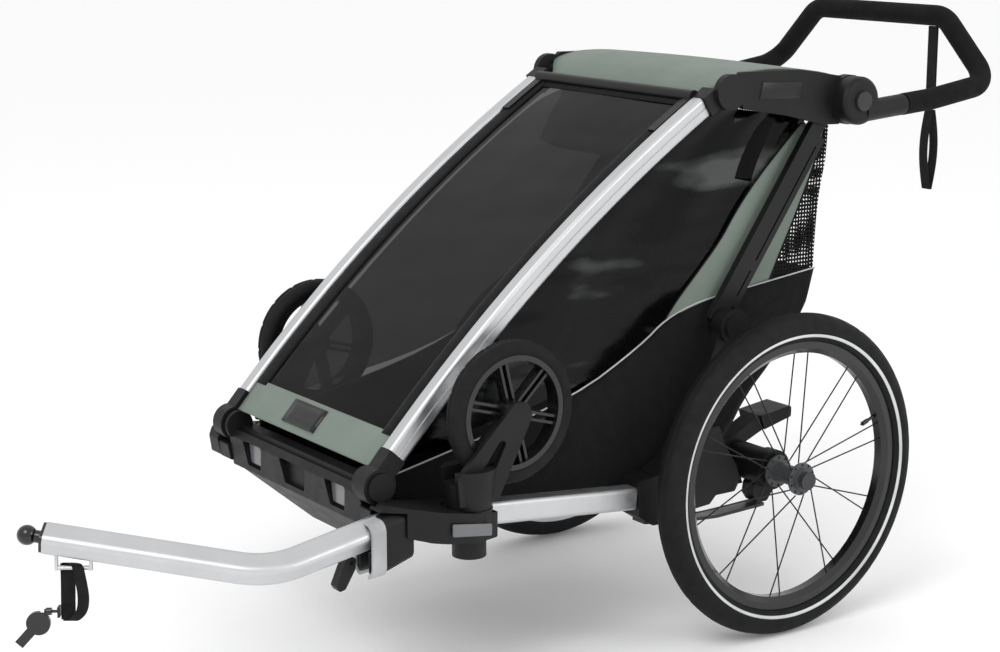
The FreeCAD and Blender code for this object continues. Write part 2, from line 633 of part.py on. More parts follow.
def handlebar_button():
    return rod_x(KNUCKLE_X1 - 4.5, KNUCKLE_X1 + 4.0, PIVOT_C, 15.0)


def grip():
    """Foam sleeve over the whole bar, from one knuckle to the other."""
    sleeve = handlebar_pipe(GRIP_RADIUS).cut(handlebar_pipe(GRIP_CORE + 0.05))
    return sleeve.cut(box(-300, 300, 100, 264.0, 700, 900))


WRIST_X, WRIST_WIDTH = 126.0, 18.0
WRIST_DROP = 236.0


def wrist_strap():
    """Webbing that hangs from the cross grip, doubled, with a hand loop at its end."""
    top = GRIP_CROSS_Z - GRIP_RADIUS - 0.6
    low = top - WRIST_DROP
    half = WRIST_WIDTH / 2
    return box(WRIST_X - half, WRIST_X + half, GRIP_Y - 3.0, GRIP_Y + 3.0, low, top)


# ---------------------------------------------------------------- strolling wheels
FORK_X0, FORK_X1 = CASTER_X + 17.0, CASTER_X + 25.0


def caster_fork():
    """Flared base with a slot for the tyre, a stem below and one blade on the outside."""
    base = Part.makeCone(32.0, FORK_SEAT_RADIUS, 56.0, V(CASTER_X, STEM_Y, POD_TOP + 0.5))
    gap = ring_x(CASTER_X - 17.5, CASTER_X + 16.0, CASTER_HUB, CASTER_RADIUS + 5.0, 20.0)
    base = base.cut(gap).cut(box(CASTER_X - 17.5, CASTER_X + 16.0, STEM_Y - 50, STEM_Y + 50, 330, 360))
    y, z = CASTER_HUB
    blade = side_plate([(-596, 300), (-600, 340), (y - 22, z + 4), (y - 8, z + 19), (y + 14, z + 16),
                        (y + 21, z - 4), (-533, 300)], FORK_X0, FORK_X1, [0, 8, 8, 8, 10, 10, 0])
    slot = side_plate([(-566, 338), (-530, 384), (-517, 384), (-545, 330)], FORK_X0 - 1, FORK_X1 + 1, 5.0)
    blade = blade.cut(slot)
    stem = rod_z(CASTER_X, STEM_Y, 255.0, POD_TOP + 2, STEM_RADIUS)
    bolt = rod_x(CASTER_X - 15.5, FORK_X0 + 1, CASTER_HUB, 5.0)
    body = base.fuse(blade).fuse(stem).fuse(bolt)
    return body.removeSplitter()


def caster_rim():
    """Moulded wheel: rim ring, hub and six twin-rib spokes, kept as separate solids."""
    x0, x1 = CASTER_X - 12.0, CASTER_X + 12.0
    y, z = CASTER_HUB
    solids = [ring_x(x0 - 1, x1 + 1, CASTER_HUB, 82.0, 74.0),
              ring_x(x0 - 3, x1 + 3, CASTER_HUB, 17.0, 5.0 + RUNNING_GAP)]
    hub = rod(V(x0, y, z), V(x1, y, z), 17.1)
    inside = rod(V(x0, y, z), V(x1, y, z), 73.9)
    for number in range(6):
        for offset in (-5.0, 5.0):
            rib = box(x0 + 3, x1 - 3, y + offset - 2, y + offset + 2, z + 10, z + 77)
            rib.rotate(V(0, y, z), V(1, 0, 0), 60.0 * number + 14.0)
            solids.append(rib.cut(hub).common(inside))
    return Part.makeCompound(solids)


def caster_tyre():
    centre = V(CASTER_X, CASTER_HUB[0], CASTER_HUB[1])
    core = ring_x(CASTER_X - CASTER_HALF_WIDTH, CASTER_X + CASTER_HALF_WIDTH, CASTER_HUB,
                  CASTER_RADIUS, 82.2)
    edges = [e for e in core.Edges if abs(e.Length - 2 * math.pi * CASTER_RADIUS) < 1.0]
    return core.makeFillet(8.0, edges)


# ---------------------------------------------------------------- hitch
def arm_profile(at, along, width, height, corner):
    """Rounded rectangle standing across the arm at one of its points."""
    across = along.cross(arm_normal()).normalize()
    up = arm_normal()
    corners = [(-1, -1), (1, -1), (1, 1), (-1, 1)]
    points = [at + across * (a * width / 2) + up * (b * height / 2) for a, b in corners]
    return rounded_wire(points, corner)


def arm_normal():
    """Unit normal of the plane that the arm's two runs lie in, pointing up."""
    normal = (ARM_BEND - ARM_ROOT).cross(ARM_TIP - ARM_BEND).normalize()
    return normal if normal.z > 0 else normal * -1


def hitch_arm():
    path = rounded_wire([ARM_ROOT, ARM_BEND, ARM_TIP], [0, ARM_BEND_RADIUS, 0], closed=False)
    along = (ARM_BEND - ARM_ROOT).normalize()
    outer = swept(path, arm_profile(ARM_ROOT, along, ARM_WIDTH, ARM_HEIGHT, 9.0))
    inner = swept(path, arm_profile(ARM_ROOT, along, ARM_WIDTH - 6, ARM_HEIGHT - 6, 6.5))
    hanger = strap_line(-HANGER_HALF, HANGER_HALF, HANGER_DROP, HANGER_RADIUS)
    rise = ARM_TIP - ARM_BEND
    slope = rise.z / math.hypot(rise.x, rise.y)
    for at in (-HANGER_HALF, HANGER_HALF - 4):
        hanger = hanger.fuse(strap_box(at, at + 4, -3, 3, -HANGER_DROP - 3, 4 + slope * at))
    return outer.cut(inner).fuse(hanger).removeSplitter()


def hitch_ball():
    """End plug, neck and ball."""
    along = (ARM_TIP - ARM_BEND).normalize()
    plug_start = ARM_TIP - along * 10
    plug = Part.Face(arm_profile(plug_start, along, ARM_WIDTH - 7.0, ARM_HEIGHT - 7.0, 5.5)).extrude(along * 10)
    face = Part.Face(arm_profile(ARM_TIP, along, ARM_WIDTH - 2, ARM_HEIGHT - 2, 8.0)).extrude(along * 4)
    neck = rod(ARM_TIP, BALL_CENTRE, 8.5)
    ball = Part.makeSphere(BALL_RADIUS, BALL_CENTRE)
    return plug.fuse(face).fuse(neck).fuse(ball).removeSplitter()


def hitch_receiver():
    """Clamp block under the left pod with a rounded foot; the arm slides into it."""
    body = side_plate([(-726, 230), (-726, 292), (-656, 300), (-656, 236), (-670, 218), (-712, 214)],
                      221.5, 272.5, [12, 3, 3, 8, 14, 14])
    along = (ARM_BEND - ARM_ROOT).normalize()
    start = ARM_ROOT - along * 40
    bore = Part.Face(arm_profile(start, along, ARM_WIDTH + 0.8, ARM_HEIGHT + 0.8, 9.2)).extrude(along * 160)
    slot = box(238, 256, -740, -640, 200, 240)
    return body.cut(bore).cut(slot)


LATCH_PIVOT = (-738.0, 236.0)


def hitch_latch():
    """Lever under the arm's root that locks the arm in its receiver."""
    outline = [(-730.5, 240), (-738, 246), (-747, 240), (-762, 206), (-757, 198), (-748, 200), (-732, 226)]
    lever = side_plate(outline, 224, 240, 3.0)
    return lever.cut(rod_x(210, 250, LATCH_PIVOT, 3.0 + RUNNING_GAP))


def latch_hinge():
    """Ears on the receiver's front and the pin that the lever turns on."""
    ears = [side_plate([(-726.2, 252), (-726.2, 226), (-738, 228), (-744, 238), (-738, 246)], x, x + 4)
            for x in (219.5, 240.5)]
    return ears[0].fuse(ears[1]).fuse(rod_x(219.5, 244.5, LATCH_PIVOT, 3.0)).removeSplitter()


def strap_axes():
    """Horizontal directions along and across the arm where the strap hangs."""
    along = ARM_TIP - ARM_BEND
    along = V(along.x, along.y, 0).normalize()
    return along, V(-along.y, along.x, 0)


def strap_box(along0, along1, across0, across1, z0, z1):
    """Block in the strap's own axes, hung from STRAP_AT."""
    along, _ = strap_axes()
    piece = box(along0, along1, across0, across1, z0, z1)
    piece.rotate(V(0, 0, 0), V(0, 0, 1), math.degrees(math.atan2(along.y, along.x)))
    piece.translate(V(STRAP_AT.x, STRAP_AT.y, STRAP_AT.z))
    return piece


def safety_strap():
    """Loop of webbing that hangs from the rod under the arm."""
    half = STRAP_WIDTH / 2
    top = HANGER_RADIUS + RUNNING_GAP - HANGER_DROP
    outer = strap_box(-STRAP_HALF_LOOP, STRAP_HALF_LOOP, -half, half, -STRAP_DROP, top + 3)
    inner = strap_box(3 - STRAP_HALF_LOOP, STRAP_HALF_LOOP - 3, -half - 1, half + 1, 3 - STRAP_DROP, top)
    return outer.cut(inner).cut(strap_line(-30, 30, HANGER_DROP, HANGER_RADIUS + RUNNING_GAP))


def strap_line(along0, along1, drop, radius):
    """Round bar along the arm, hung at a depth below the strap's origin."""
    along, _ = strap_axes()
    centre = STRAP_AT - V(0, 0, drop)
    return rod(centre + along * along0, centre + along * along1, radius)


def strap_ring():
    """Plate on the strap's lower corner with a headed stud that the pin hangs from."""
    face = STRAP_HALF_LOOP + 0.3
    plate = strap_box(face, face + 3, -6, 6, -PIN_EYE_DROP - 7, 7 - PIN_EYE_DROP)
    stud = strap_line(face, PIN_EYE + 5, PIN_EYE_DROP, 2.0)
    head = strap_line(PIN_EYE + 4, PIN_EYE + 6, PIN_EYE_DROP, 3.5)
    return plate.fuse(stud).fuse(head).removeSplitter()


def safety_pin():
    """Eye on the stud, a slanting pin with a round head, and a finger tab at its end."""
    head = Part.makeCylinder(16.0, 6.0, V(22, -3.0, 0), V(0, 1, 0))
    pin = box(0, 42, -2.5, 2.5, -2.5, 2.5)
    tab = box(38, 62, -2.5, 2.5, -6.5, 6.5)
    piece = head.fuse(pin).fuse(tab).removeSplitter()
    piece.rotate(V(0, 0, 0), V(0, 1, 0), PIN_TILT)
    along, _ = strap_axes()
    piece.rotate(V(0, 0, 0), V(0, 0, 1), math.degrees(math.atan2(along.y, along.x)))
    piece.translate(STRAP_AT + along * PIN_EYE - V(0, 0, PIN_EYE_DROP))
    piece = piece.fuse(strap_line(PIN_EYE - 3.5, PIN_EYE + 3.5, PIN_EYE_DROP, 5.0))
    bore = strap_line(PIN_EYE - 6, PIN_EYE + 3.6, PIN_EYE_DROP, 2.0 + RUNNING_GAP)
    room = strap_line(PIN_EYE + 3.5, PIN_EYE + 12, PIN_EYE_DROP, 4.0)
    return piece.cut(bore).cut(room).removeSplitter()


# ---------------------------------------------------------------- parking brake
def brake_pedal():
    """Foot pedal that turns on the cross beam."""
    outline = [(-142, 218), (-100, 214), (-56, 240), (56, 286), (112, 300), (112, 318),
               (48, 310), (-60, 258), (-84, 247), (-142, 245)]
    pedal = side_plate(outline, 146, 178, [8, 8, 0, 0, 4, 4, 0, 0, 8, 8])
    pedal = pedal.fuse(rod_x(146, 178, BEAM_AXIS, BEAM_RADIUS + 3.5))
    pad = side_plate([(56, 286.5), (112, 300), (112, 318), (48, 310)], 128, 182, [0, 4, 4, 0])
    return pedal.fuse(pad).cut(rod_x(120, 190, BEAM_AXIS, BEAM_RADIUS + RUNNING_GAP)).removeSplitter()


# ---------------------------------------------------------------- assembly
def save_sided(name, shape):
    """Left piece as drawn, right piece mirrored, each in its own node."""
    pieces = shape if isinstance(shape, list) else [shape]
    save(name + "_left", pieces)
    save(name + "_right", [mirrored(piece) for piece in pieces])


os.makedirs("parts", exist_ok=True)

save_sided("tyre", tyre())
save_sided("rim", rim())
save_sided("spokes", spokes())
save_sided("hub", hub())
save_sided("wheel_axle", wheel_axle())
save_sided("axle_button", axle_button())
save_sided("axle_housing", axle_housing())
save_sided("swing_arm", swing_arm())
save_sided("leaf_spring", leaf_spring())

bracket, swing_pin = rear_bracket()
save("side_rails", both_sides(side_rail()))
save("rear_brackets", both_sides(bracket) + both_sides(swing_pin))
save("axle_beam", axle_beam())
save("front_bumper", front_bumper())
save("reflectors", [bumper_reflector(-146, -96), bumper_reflector(96, 146)] + both_sides(pod_reflector()))
save("front_pods", [front_pod().cut(arm_recess()), mirrored(front_pod())])
save("pivot_caps", both_sides(pivot_cap()) + both_sides(upright_cap()))
save("upright_mounts", both_sides(upright_mount()))
save("tub", tub())
save("side_windows", both_sides(side_window()))
save("rear_mesh", rear_mesh())
save("seat_base", seat_base())
save("seat_back", seat_back())
save("harness", harness())
save("brake_pedal", brake_pedal())

save("front_tubes", both_sides(front_tube()))
save("tube_fittings", [piece for fitting in tube_fittings() for piece in both_sides(fitting)])
save("front_bar", front_bar())
save("front_window", front_cover(98, SPAN_AB - 50, TUBE_X0 - 0.4, 2.0))
save("front_panel", front_cover(20, 97.7, TUBE_X0 - 0.4, 3.0))
save("top_panels", both_sides(top_panel()))
save("roof", roof())
save("uprights", both_sides(upright()))

save("handlebar_tube", handlebar_pipe(GRIP_CORE).cut(handlebar_pipe(GRIP_CORE - 1.5)))
save("grip", grip())
save("handlebar_knuckles", both_sides(handlebar_knuckle()))
save("wrist_strap", wrist_strap())
save_sided("handlebar_button", handlebar_button())

save_sided("caster_fork", caster_fork())
save_sided("caster_rim", caster_rim())
save_sided("caster_tyre", caster_tyre())

save("hitch_arm", hitch_arm())
save("hitch_ball", hitch_ball())
save("hitch_receiver", [hitch_receiver(), latch_hinge()])
save("hitch_latch", hitch_latch())
save("safety_strap", safety_strap())
save("strap_ring", strap_ring())
save("safety_pin", safety_pin())
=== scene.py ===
"""Child bicycle trailer: fabric, film, tyres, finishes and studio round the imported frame."""

import math

import bmesh
import bpy
import numpy as np
from mathutils import Matrix, Vector


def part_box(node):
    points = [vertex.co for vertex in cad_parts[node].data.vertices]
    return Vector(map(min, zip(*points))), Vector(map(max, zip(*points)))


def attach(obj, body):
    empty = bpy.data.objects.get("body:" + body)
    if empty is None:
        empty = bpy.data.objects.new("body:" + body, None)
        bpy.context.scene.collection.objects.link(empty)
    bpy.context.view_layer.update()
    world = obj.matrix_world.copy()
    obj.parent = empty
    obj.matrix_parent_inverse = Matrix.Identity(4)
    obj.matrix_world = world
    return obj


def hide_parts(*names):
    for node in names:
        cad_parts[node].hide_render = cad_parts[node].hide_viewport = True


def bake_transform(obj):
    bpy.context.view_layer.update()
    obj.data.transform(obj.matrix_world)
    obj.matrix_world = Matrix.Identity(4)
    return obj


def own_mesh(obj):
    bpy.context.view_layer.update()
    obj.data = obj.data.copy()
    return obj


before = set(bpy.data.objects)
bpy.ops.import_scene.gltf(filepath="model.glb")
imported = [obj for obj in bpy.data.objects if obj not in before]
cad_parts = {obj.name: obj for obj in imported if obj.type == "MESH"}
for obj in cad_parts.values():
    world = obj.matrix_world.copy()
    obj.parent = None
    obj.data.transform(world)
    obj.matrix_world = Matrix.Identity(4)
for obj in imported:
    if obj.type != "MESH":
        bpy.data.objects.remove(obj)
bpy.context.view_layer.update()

MM = 0.001
LOW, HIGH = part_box("tyre_left")
AXLE_Y = (LOW.y + HIGH.y) / 2
GROUND = LOW.z


# ---------------------------------------------------------------- places
def at(x, y, z):
    """Point given in millimetres from the road axle's line and the ground."""
    return Vector((x * MM, y * MM + AXLE_Y, z * MM + GROUND))


PIVOT_A, PIVOT_B = (-680.0, 327.0), (-71.0, 829.0)     # front tube's foot and head, as (y, z)
SPAN_AB = math.dist(PIVOT_A, PIVOT_B)
RUN = ((PIVOT_B[0] - PIVOT_A[0]) / SPAN_AB, (PIVOT_B[1] - PIVOT_A[1]) / SPAN_AB)
TUBE_LIFT, TUBE_BOW = 3.0, 31.0            # tube's height over its pivots' line, and its bow

# half widths of the cabin's layers, counted from its middle plane
FLAP_X = 184.0
REAR_X = 188.0
FILM_X = 189.0
BAND_X = 189.5
TUB_X = 190.0
SEAM_X = 190.6
TRIM_X = 191.6


def on_tube(s, lift):
    """(y, z) at a distance s up the front tube, and a height above its bowed middle."""
    n = TUBE_LIFT + TUBE_BOW * 4 * (s / SPAN_AB) * (1 - s / SPAN_AB) + lift
    return (PIVOT_A[0] + RUN[0] * s - RUN[1] * n, PIVOT_A[1] + RUN[1] * s + RUN[0] * n)


# ---------------------------------------------------------------- meshes
def mesh_object(name, points, faces, smooth=True):
    """Scene object from points in metres and faces by number."""
    mesh = bpy.data.meshes.new(name)
    mesh.from_pydata([tuple(p) for p in points], [], faces)
    mesh.validate()
    mesh.polygons.foreach_set("use_smooth", [smooth] * len(mesh.polygons))
    piece = bpy.data.objects.new(name, mesh)
    bpy.context.collection.objects.link(piece)
    return piece


def grid_faces(rows, columns, offset=0):
    """Quads of a grid with that many points each way, the first of them numbered offset."""
    faces = []
    for i in range(rows - 1):
        for j in range(columns - 1):
            first = offset + i * columns + j
            faces.append([first, first + columns, first + columns + 1, first + 1])
    return faces


def along(line, share):
    """Point a share of the way along a polyline."""
    runs = [math.dist(a, b) for a, b in zip(line, line[1:])]
    left = share * sum(runs)
    for a, b, run in zip(line, line[1:], runs):
        if left <= run or b is line[-1]:
            t = min(max(left / run, 0.0), 1.0)
            return tuple(p + (q - p) * t for p, q in zip(a, b))
        left -= run


def smooth_line(line, passes=2):
    """Polyline with its corners cut, ends kept."""
    for _ in range(passes):
        new = [line[0]]
        for a, b in zip(line, line[1:]):
            new.append(tuple(p * 0.75 + q * 0.25 for p, q in zip(a, b)))
            new.append(tuple(p * 0.25 + q * 0.75 for p, q in zip(a, b)))
        line = new + [line[-1]]
    return line


def coons(low, high, left, right, rows, columns):
    """Grid of (y, z) points filling four edges; low and high run from left to right."""
    points = []
    for i in range(rows):
        v = i / (rows - 1)
        for j in range(columns):
            u = j / (columns - 1)
            b, t, l, r = along(low, u), along(high, u), along(left, v), along(right, v)
            points.append(tuple(
                (1 - v) * b[k] + v * t[k] + (1 - u) * l[k] + u * r[k]
                - ((1 - u) * (1 - v) * low[0][k] + u * (1 - v) * low[-1][k]
                   + (1 - u) * v * high[0][k] + u * v * high[-1][k]) for k in (0, 1)))
    return points


def side_sheet(name, edges, x, ripple, rows=28, columns=28):
    """Sewn panel on both sides of the cabin; ripple(u, v) is how far it stands in, in mm."""
    flat = coons(*edges, rows, columns)
    points, faces = [], []
    for side in (-1, 1):
        offset = len(points)
        for number, (y, z) in enumerate(flat):
            u, v = (number % columns) / (columns - 1), (number // columns) / (rows - 1)
            points.append(at(side * (x - ripple(u, v)), y, z))
        faces += grid_faces(rows, columns, offset=offset)
    return mesh_object(name, points, faces)


def across_sheet(name, line, half_width, crown, rows, columns):
    """Sheet that spans the cabin, along a line of (y, z), with half_width(v) and crown(u, v)."""
    points = []
    for i in range(rows):
        v = i / (rows - 1)
        y, z = along(line, v)
        ahead, behind = along(line, min(v + 0.01, 1)), along(line, max(v - 0.01, 0))
        run = math.dist(ahead, behind)
        normal = (-(ahead[1] - behind[1]) / run, (ahead[0] - behind[0]) / run)
        for j in range(columns):
            u = j / (columns - 1)
            n = crown(u, v)
            points.append(at((2 * u - 1) * half_width(v), y + normal[0] * n, z + normal[1] * n))
    return mesh_object(name, points, grid_faces(rows, columns))


def thicken(piece, thickness):
    """Give a sheet its thickness, half of it to each side."""
    solid = piece.modifiers.new("thickness", "SOLIDIFY")
    solid.thickness = thickness * MM
    solid.offset = 0.0
    return piece


def revolved(name, profile, centre, segments, dent=None):
    """Closed (x, radius) profile turned round an X axis; dent(i, x, r) takes from the radius."""
    points = []
    y0, z0 = centre
    for i in range(segments):
        angle = 2 * math.pi * i / segments
        for x, r in profile:
            r -= dent(i, x, r) if dent else 0.0
            points.append(at(x, y0 + r * math.cos(angle), z0 + r * math.sin(angle)))
    count = len(profile)
    faces = []
    for i in range(segments):
        k = (i + 1) % segments
        for j in range(count):
            m = (j + 1) % count
            faces.append([i * count + j, i * count + m, k * count + m, k * count + j])
    return mesh_object(name, points, faces)


def ribbon(name, path, width_axis, width, thickness):
    """Flat strap along a path of points in metres; width runs along width_axis."""
    width_axis = Vector(width_axis).normalized()
    points = []
    for i, p in enumerate(path):
        ahead = path[min(i + 1, len(path) - 1)] - path[max(i - 1, 0)]
        normal = ahead.cross(width_axis).normalized()
        for a, b in ((-1, -1), (1, -1), (1, 1), (-1, 1)):
            points.append(p + width_axis * (a * width * MM / 2) + normal * (b * thickness * MM / 2))
    count = len(path)
    faces = [[3, 2, 1, 0], [4 * count - 4 + k for k in range(4)]]
    for i in range(count - 1):
        for k in range(4):
            m = (k + 1) % 4
            faces.append([4 * i + k, 4 * i + m, 4 * i + 4 + m, 4 * i + 4 + k])
    piece = mesh_object(name, points, faces, smooth=False)
    bevel = piece.modifiers.new("soft_edge", "BEVEL")
    bevel.width, bevel.segments = thickness * MM * 0.3, 2
    return piece


def joined(name, pieces):
    """One mesh from several, with their modifiers kept from the first."""
    bpy.ops.object.select_all(action="DESELECT")
    for piece in pieces:
        piece.select_set(True)
    bpy.context.view_layer.objects.active = pieces[0]
    bpy.ops.object.join()
    pieces[0].name = name
    return pieces[0]


# ---------------------------------------------------------------- finishes
def linear(*rgb):
    """Linear colour from 0-255 display values."""
    return [((c / 255 + 0.055) / 1.055) ** 2.4 if c > 10 else c / 255 / 12.92 for c in rgb] + [1.0]


WAVE_PERIOD = 0.314                        # metres between a wave texture's bands at scale 1


class Finish:
    """A procedural material: colour and roughness that vary a little, and a relief of its own."""

    def __init__(self, name, colour, roughness, metallic=0.0, specular=0.35, spread=0.16):
        self.material = bpy.data.materials.new("finish_" + name)
        self.material.use_nodes = True
        self.tree = self.material.node_tree
        self.shader = self.tree.nodes["Principled BSDF"]
        self.shader.inputs["Metallic"].default_value = metallic
        self.shader.inputs["Specular IOR Level"].default_value = specular
        self.place = self.node("ShaderNodeTexCoord").outputs["Object"]
        self.vary(colour, roughness, spread)

    def node(self, kind, **settings):
        """New shader node with its settings."""
        node = self.tree.nodes.new(kind)
        for key, value in settings.items():
            setattr(node, key, value)
        return node

    def link(self, output, target):
        self.tree.links.new(output, target)

    def stretched(self, scale):
        """The piece's own coordinates, scaled along each axis."""
        mapping = self.node("ShaderNodeMapping")
        mapping.inputs["Scale"].default_value = scale
        self.link(self.place, mapping.inputs["Vector"])
        return mapping.outputs["Vector"]

    def noise(self, scale, stretch=(1, 1, 1), detail=4.0):
        """Value of a noise pattern, drawn out along an axis where stretch is small."""
        noise = self.node("ShaderNodeTexNoise")
        noise.inputs["Scale"].default_value = scale
        noise.inputs["Detail"].default_value = detail
        self.link(self.stretched(stretch), noise.inputs["Vector"])
        return noise.outputs["Fac"]

    def ranged(self, value, low, high, start=0.3, end=0.7):
        """A value's range from start to end, made to run from low to high."""
        mapped = self.node("ShaderNodeMapRange")
        limits = {"From Min": start, "From Max": end, "To Min": low, "To Max": high}
        for key, number in limits.items():
            mapped.inputs[key].default_value = number
        self.link(value, mapped.inputs["Value"])
        return mapped.outputs["Result"]

    def vary(self, colour, roughness, spread):
        """Broad patches of colour, a little darker and lighter, and finer ones of roughness."""
        patches = self.noise(14.0)
        ramp = self.node("ShaderNodeValToRGB")
        shades = ((0.32, 1 - spread), (0.68, 1 + spread))
        for stop, (position, gain) in zip(ramp.color_ramp.elements, shades):
            stop.position = position
            stop.color = [min(c * gain, 1.0) for c in linear(*colour)[:3]] + [1.0]
        self.link(patches, ramp.inputs["Fac"])
        self.link(ramp.outputs["Color"], self.shader.inputs["Base Color"])
        self.link(self.ranged(self.noise(60.0), roughness * 0.88, min(roughness * 1.12, 1.0)),
                  self.shader.inputs["Roughness"])

    def relief(self, height, strength, distance):
        """Bump from a height socket."""
        bump = self.node("ShaderNodeBump")
        bump.inputs["Strength"].default_value = strength
        bump.inputs["Distance"].default_value = distance
        self.link(height, bump.inputs["Height"])
        self.link(bump.outputs["Normal"], self.shader.inputs["Normal"])
        return bump

    def rounded(self, bump, radius):
        """Shade the edges as if they were rounded, under the bump."""
        bevel = self.node("ShaderNodeBevel", samples=4)
        bevel.inputs["Radius"].default_value = radius * MM
        self.link(bevel.outputs["Normal"], bump.inputs["Normal"])
        return self

    def grain(self, pitch, strength=0.25, radius=0.9):
        """Moulded grain, with that many millimetres to a cell."""
        cells = self.node("ShaderNodeTexVoronoi")
        cells.inputs["Scale"].default_value = 1 / (pitch * MM)
        self.link(self.place, cells.inputs["Vector"])
        return self.rounded(self.relief(cells.outputs["Distance"], strength, 0.12 * pitch * MM), radius)

    def brushed(self, stretch, strength=0.12, radius=0.9):
        """Fine scratches along the axes where stretch is small."""
        scratches = self.noise(900.0, stretch, 2.0)
        return self.rounded(self.relief(scratches, strength, 0.05 * MM), radius)

    def threads(self, pitch):
        """Height of crossed threads on a surface that faces any way."""
        total = None
        for axis in "XYZ":
            bands = self.node("ShaderNodeTexWave", bands_direction=axis)
            bands.inputs["Scale"].default_value = WAVE_PERIOD / (pitch * MM)
            bands.inputs["Distortion"].default_value = 0.4
            self.link(self.place, bands.inputs["Vector"])
            if total is None:
                total = bands.outputs["Fac"]
                continue
            add = self.node("ShaderNodeMath", operation="ADD")
            self.link(total, add.inputs[0])
            self.link(bands.outputs["Fac"], add.inputs[1])
            total = add.outputs["Value"]
        return total

    def woven(self, pitch, strength=0.5, sheen=0.3):
        """Cloth, with that many millimetres to a thread."""
        self.relief(self.threads(pitch), strength, 0.2 * pitch * MM)
        self.shader.inputs["Sheen Weight"].default_value = sheen
        return self

    def netted(self, pitch, gap):
        """Threads with open holes between them, where they are lower than gap."""
        threads = self.threads(pitch)
        self.relief(threads, 0.4, 0.2 * MM)
        self.link(self.ranged(threads, 0.0, 1.0, gap, gap + 0.15), self.shader.inputs["Alpha"])
        return self

    def clear(self, alpha):
        """See-through film; alpha is how much of it is solid."""
        self.shader.inputs["Alpha"].default_value = alpha
        return self

    def painted_reflection_streaks(self, colour):
        """Painted reflection: long pale streaks mixed into the colour, where light would glint off creased
        film.
        """
        painted_glint = self.ranged(self.noise(9.0, (1, 0.5, 1.6), 3.0), 0.0, 1.0, 0.56, 0.7)
        mix = self.node("ShaderNodeMix", data_type="RGBA")
        base = self.shader.inputs["Base Color"]
        self.link(painted_glint, mix.inputs["Factor"])
        self.link(base.links[0].from_socket, mix.inputs["A"])
        mix.inputs["B"].default_value = linear(*colour)
        self.link(mix.outputs["Result"], base)
        return self

    def coated(self, weight):
        """A gloss coat over the rest."""
        self.shader.inputs["Coat Weight"].default_value = weight
        self.shader.inputs["Coat Roughness"].default_value = 0.15
        return self


STREAKS_SQUARE_TO_X = (1, 0.04, 0.04)
STREAKS_ALONG_X = (0.1, 1, 1)
FINISHES = {
    "silver_aluminium": Finish("silver_aluminium", (196, 197, 199), 0.44, 1.0,
                               spread=0.03).brushed(STREAKS_SQUARE_TO_X),
    "black_moulding": Finish("black_moulding", (17, 17, 18), 0.5, specular=0.25).grain(0.9),
    "light_moulding": Finish("light_moulding", (158, 160, 162), 0.42).grain(0.9),
    "black_gloss": Finish("black_gloss", (14, 14, 15), 0.18).grain(2.0, 0.05).coated(0.4),
    "black_coated_tube": Finish("black_coated_tube", (17, 17, 18), 0.36, specular=0.25).grain(0.5, 0.12),
    "tyre_rubber": Finish("tyre_rubber", (19, 19, 20), 0.74, specular=0.2).grain(0.8, 0.3, 0.4),
    "grip_foam": Finish("grip_foam", (18, 18, 19), 0.85, specular=0.15).grain(1.4, 0.5),
    "rim_black": Finish("rim_black", (19, 19, 20), 0.26).brushed(STREAKS_ALONG_X).coated(0.3),
    "spoke_black": Finish("spoke_black", (30, 30, 32), 0.3, 0.6).brushed((1, 1, 1), 0.05, 0.2),
    "axle_steel": Finish("axle_steel", (120, 121, 124), 0.3, 1.0).brushed(STREAKS_ALONG_X),
    "spring_steel": Finish("spring_steel", (62, 62, 64), 0.4, 0.8).brushed((1, 0.05, 1)),
    "cabin_fabric": Finish("cabin_fabric", (15, 15, 16), 0.88, specular=0.15).woven(1.1, sheen=0.05),
    "green_fabric": Finish("green_fabric", (112, 123, 115), 0.86, specular=0.2,
                           spread=0.06).woven(1.1, sheen=0.1),
    "mesh_fabric": Finish("mesh_fabric", (14, 14, 15), 0.85, specular=0.15).netted(6.0, 1.25),
    "dark_film": Finish("dark_film", (4, 4, 5), 0.14, specular=0.08).clear(0.92),
    "seat_fabric": Finish("seat_fabric", (30, 30, 32), 0.9, specular=0.15).woven(1.3),
    "webbing": Finish("webbing", (16, 16, 17), 0.8, specular=0.2).woven(1.6, 0.8, 0.05),
    "reflector_grey": Finish("reflector_grey", (92, 94, 97), 0.22).grain(2.2, 0.6).coated(0.6),
    "ring_steel": Finish("ring_steel", (60, 60, 62), 0.35, 0.9).brushed((1, 1, 1)),
}
FILM = FINISHES["dark_film"]
FILM.relief(FILM.noise(9.0, (1, 1, 2.5), 1.0), 0.35, 6 * MM)
SIDE_FILM = Finish("side_film", (7, 7, 8), 0.12, specular=0.16).clear(0.86)
# Painted reflection: pale grey streaks in the side film's colour, standing in for light off its creases.
SIDE_FILM.painted_reflection_streaks((74, 77, 76))
SIDE_FILM.relief(SIDE_FILM.noise(9.0, (1, 1, 2.5), 1.0), 0.4, 6 * MM)
HUB_GREY = Finish("hub_grey", (74, 75, 77), 0.42, 0.3).grain(0.7, 0.15)
CAP_GREY = Finish("cap_grey", (44, 44, 46), 0.4).grain(0.7, 0.15)
PIPING_GREY = Finish("piping_grey", (168, 170, 172), 0.6).woven(0.8)
STRIPE = Finish("reflective_stripe", (196, 198, 200), 0.4).grain(0.5, 0.2)
BADGE = Finish("badge_black", (16, 16, 17), 0.35).grain(1.2, 0.1)


def dress(piece, finish, body=None):
    """Give a piece its finish and its body."""
    piece.data.materials.clear()
    piece.data.materials.append((FINISHES[finish] if isinstance(finish, str) else finish).material)
    if body:
        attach(piece, body)
    return piece


OWN_FINISH = {"hub": HUB_GREY, "axle_button": CAP_GREY, "handlebar_button": CAP_GREY}
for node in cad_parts.values():
    for held in node.material_slots:
        name = held.material.name.split(".")[0]
        kind = node.name.rsplit("_", 1)[0]
        if kind in OWN_FINISH:
            held.material = OWN_FINISH[kind].material
        elif name in FINISHES:
            held.material = FINISHES[name].material
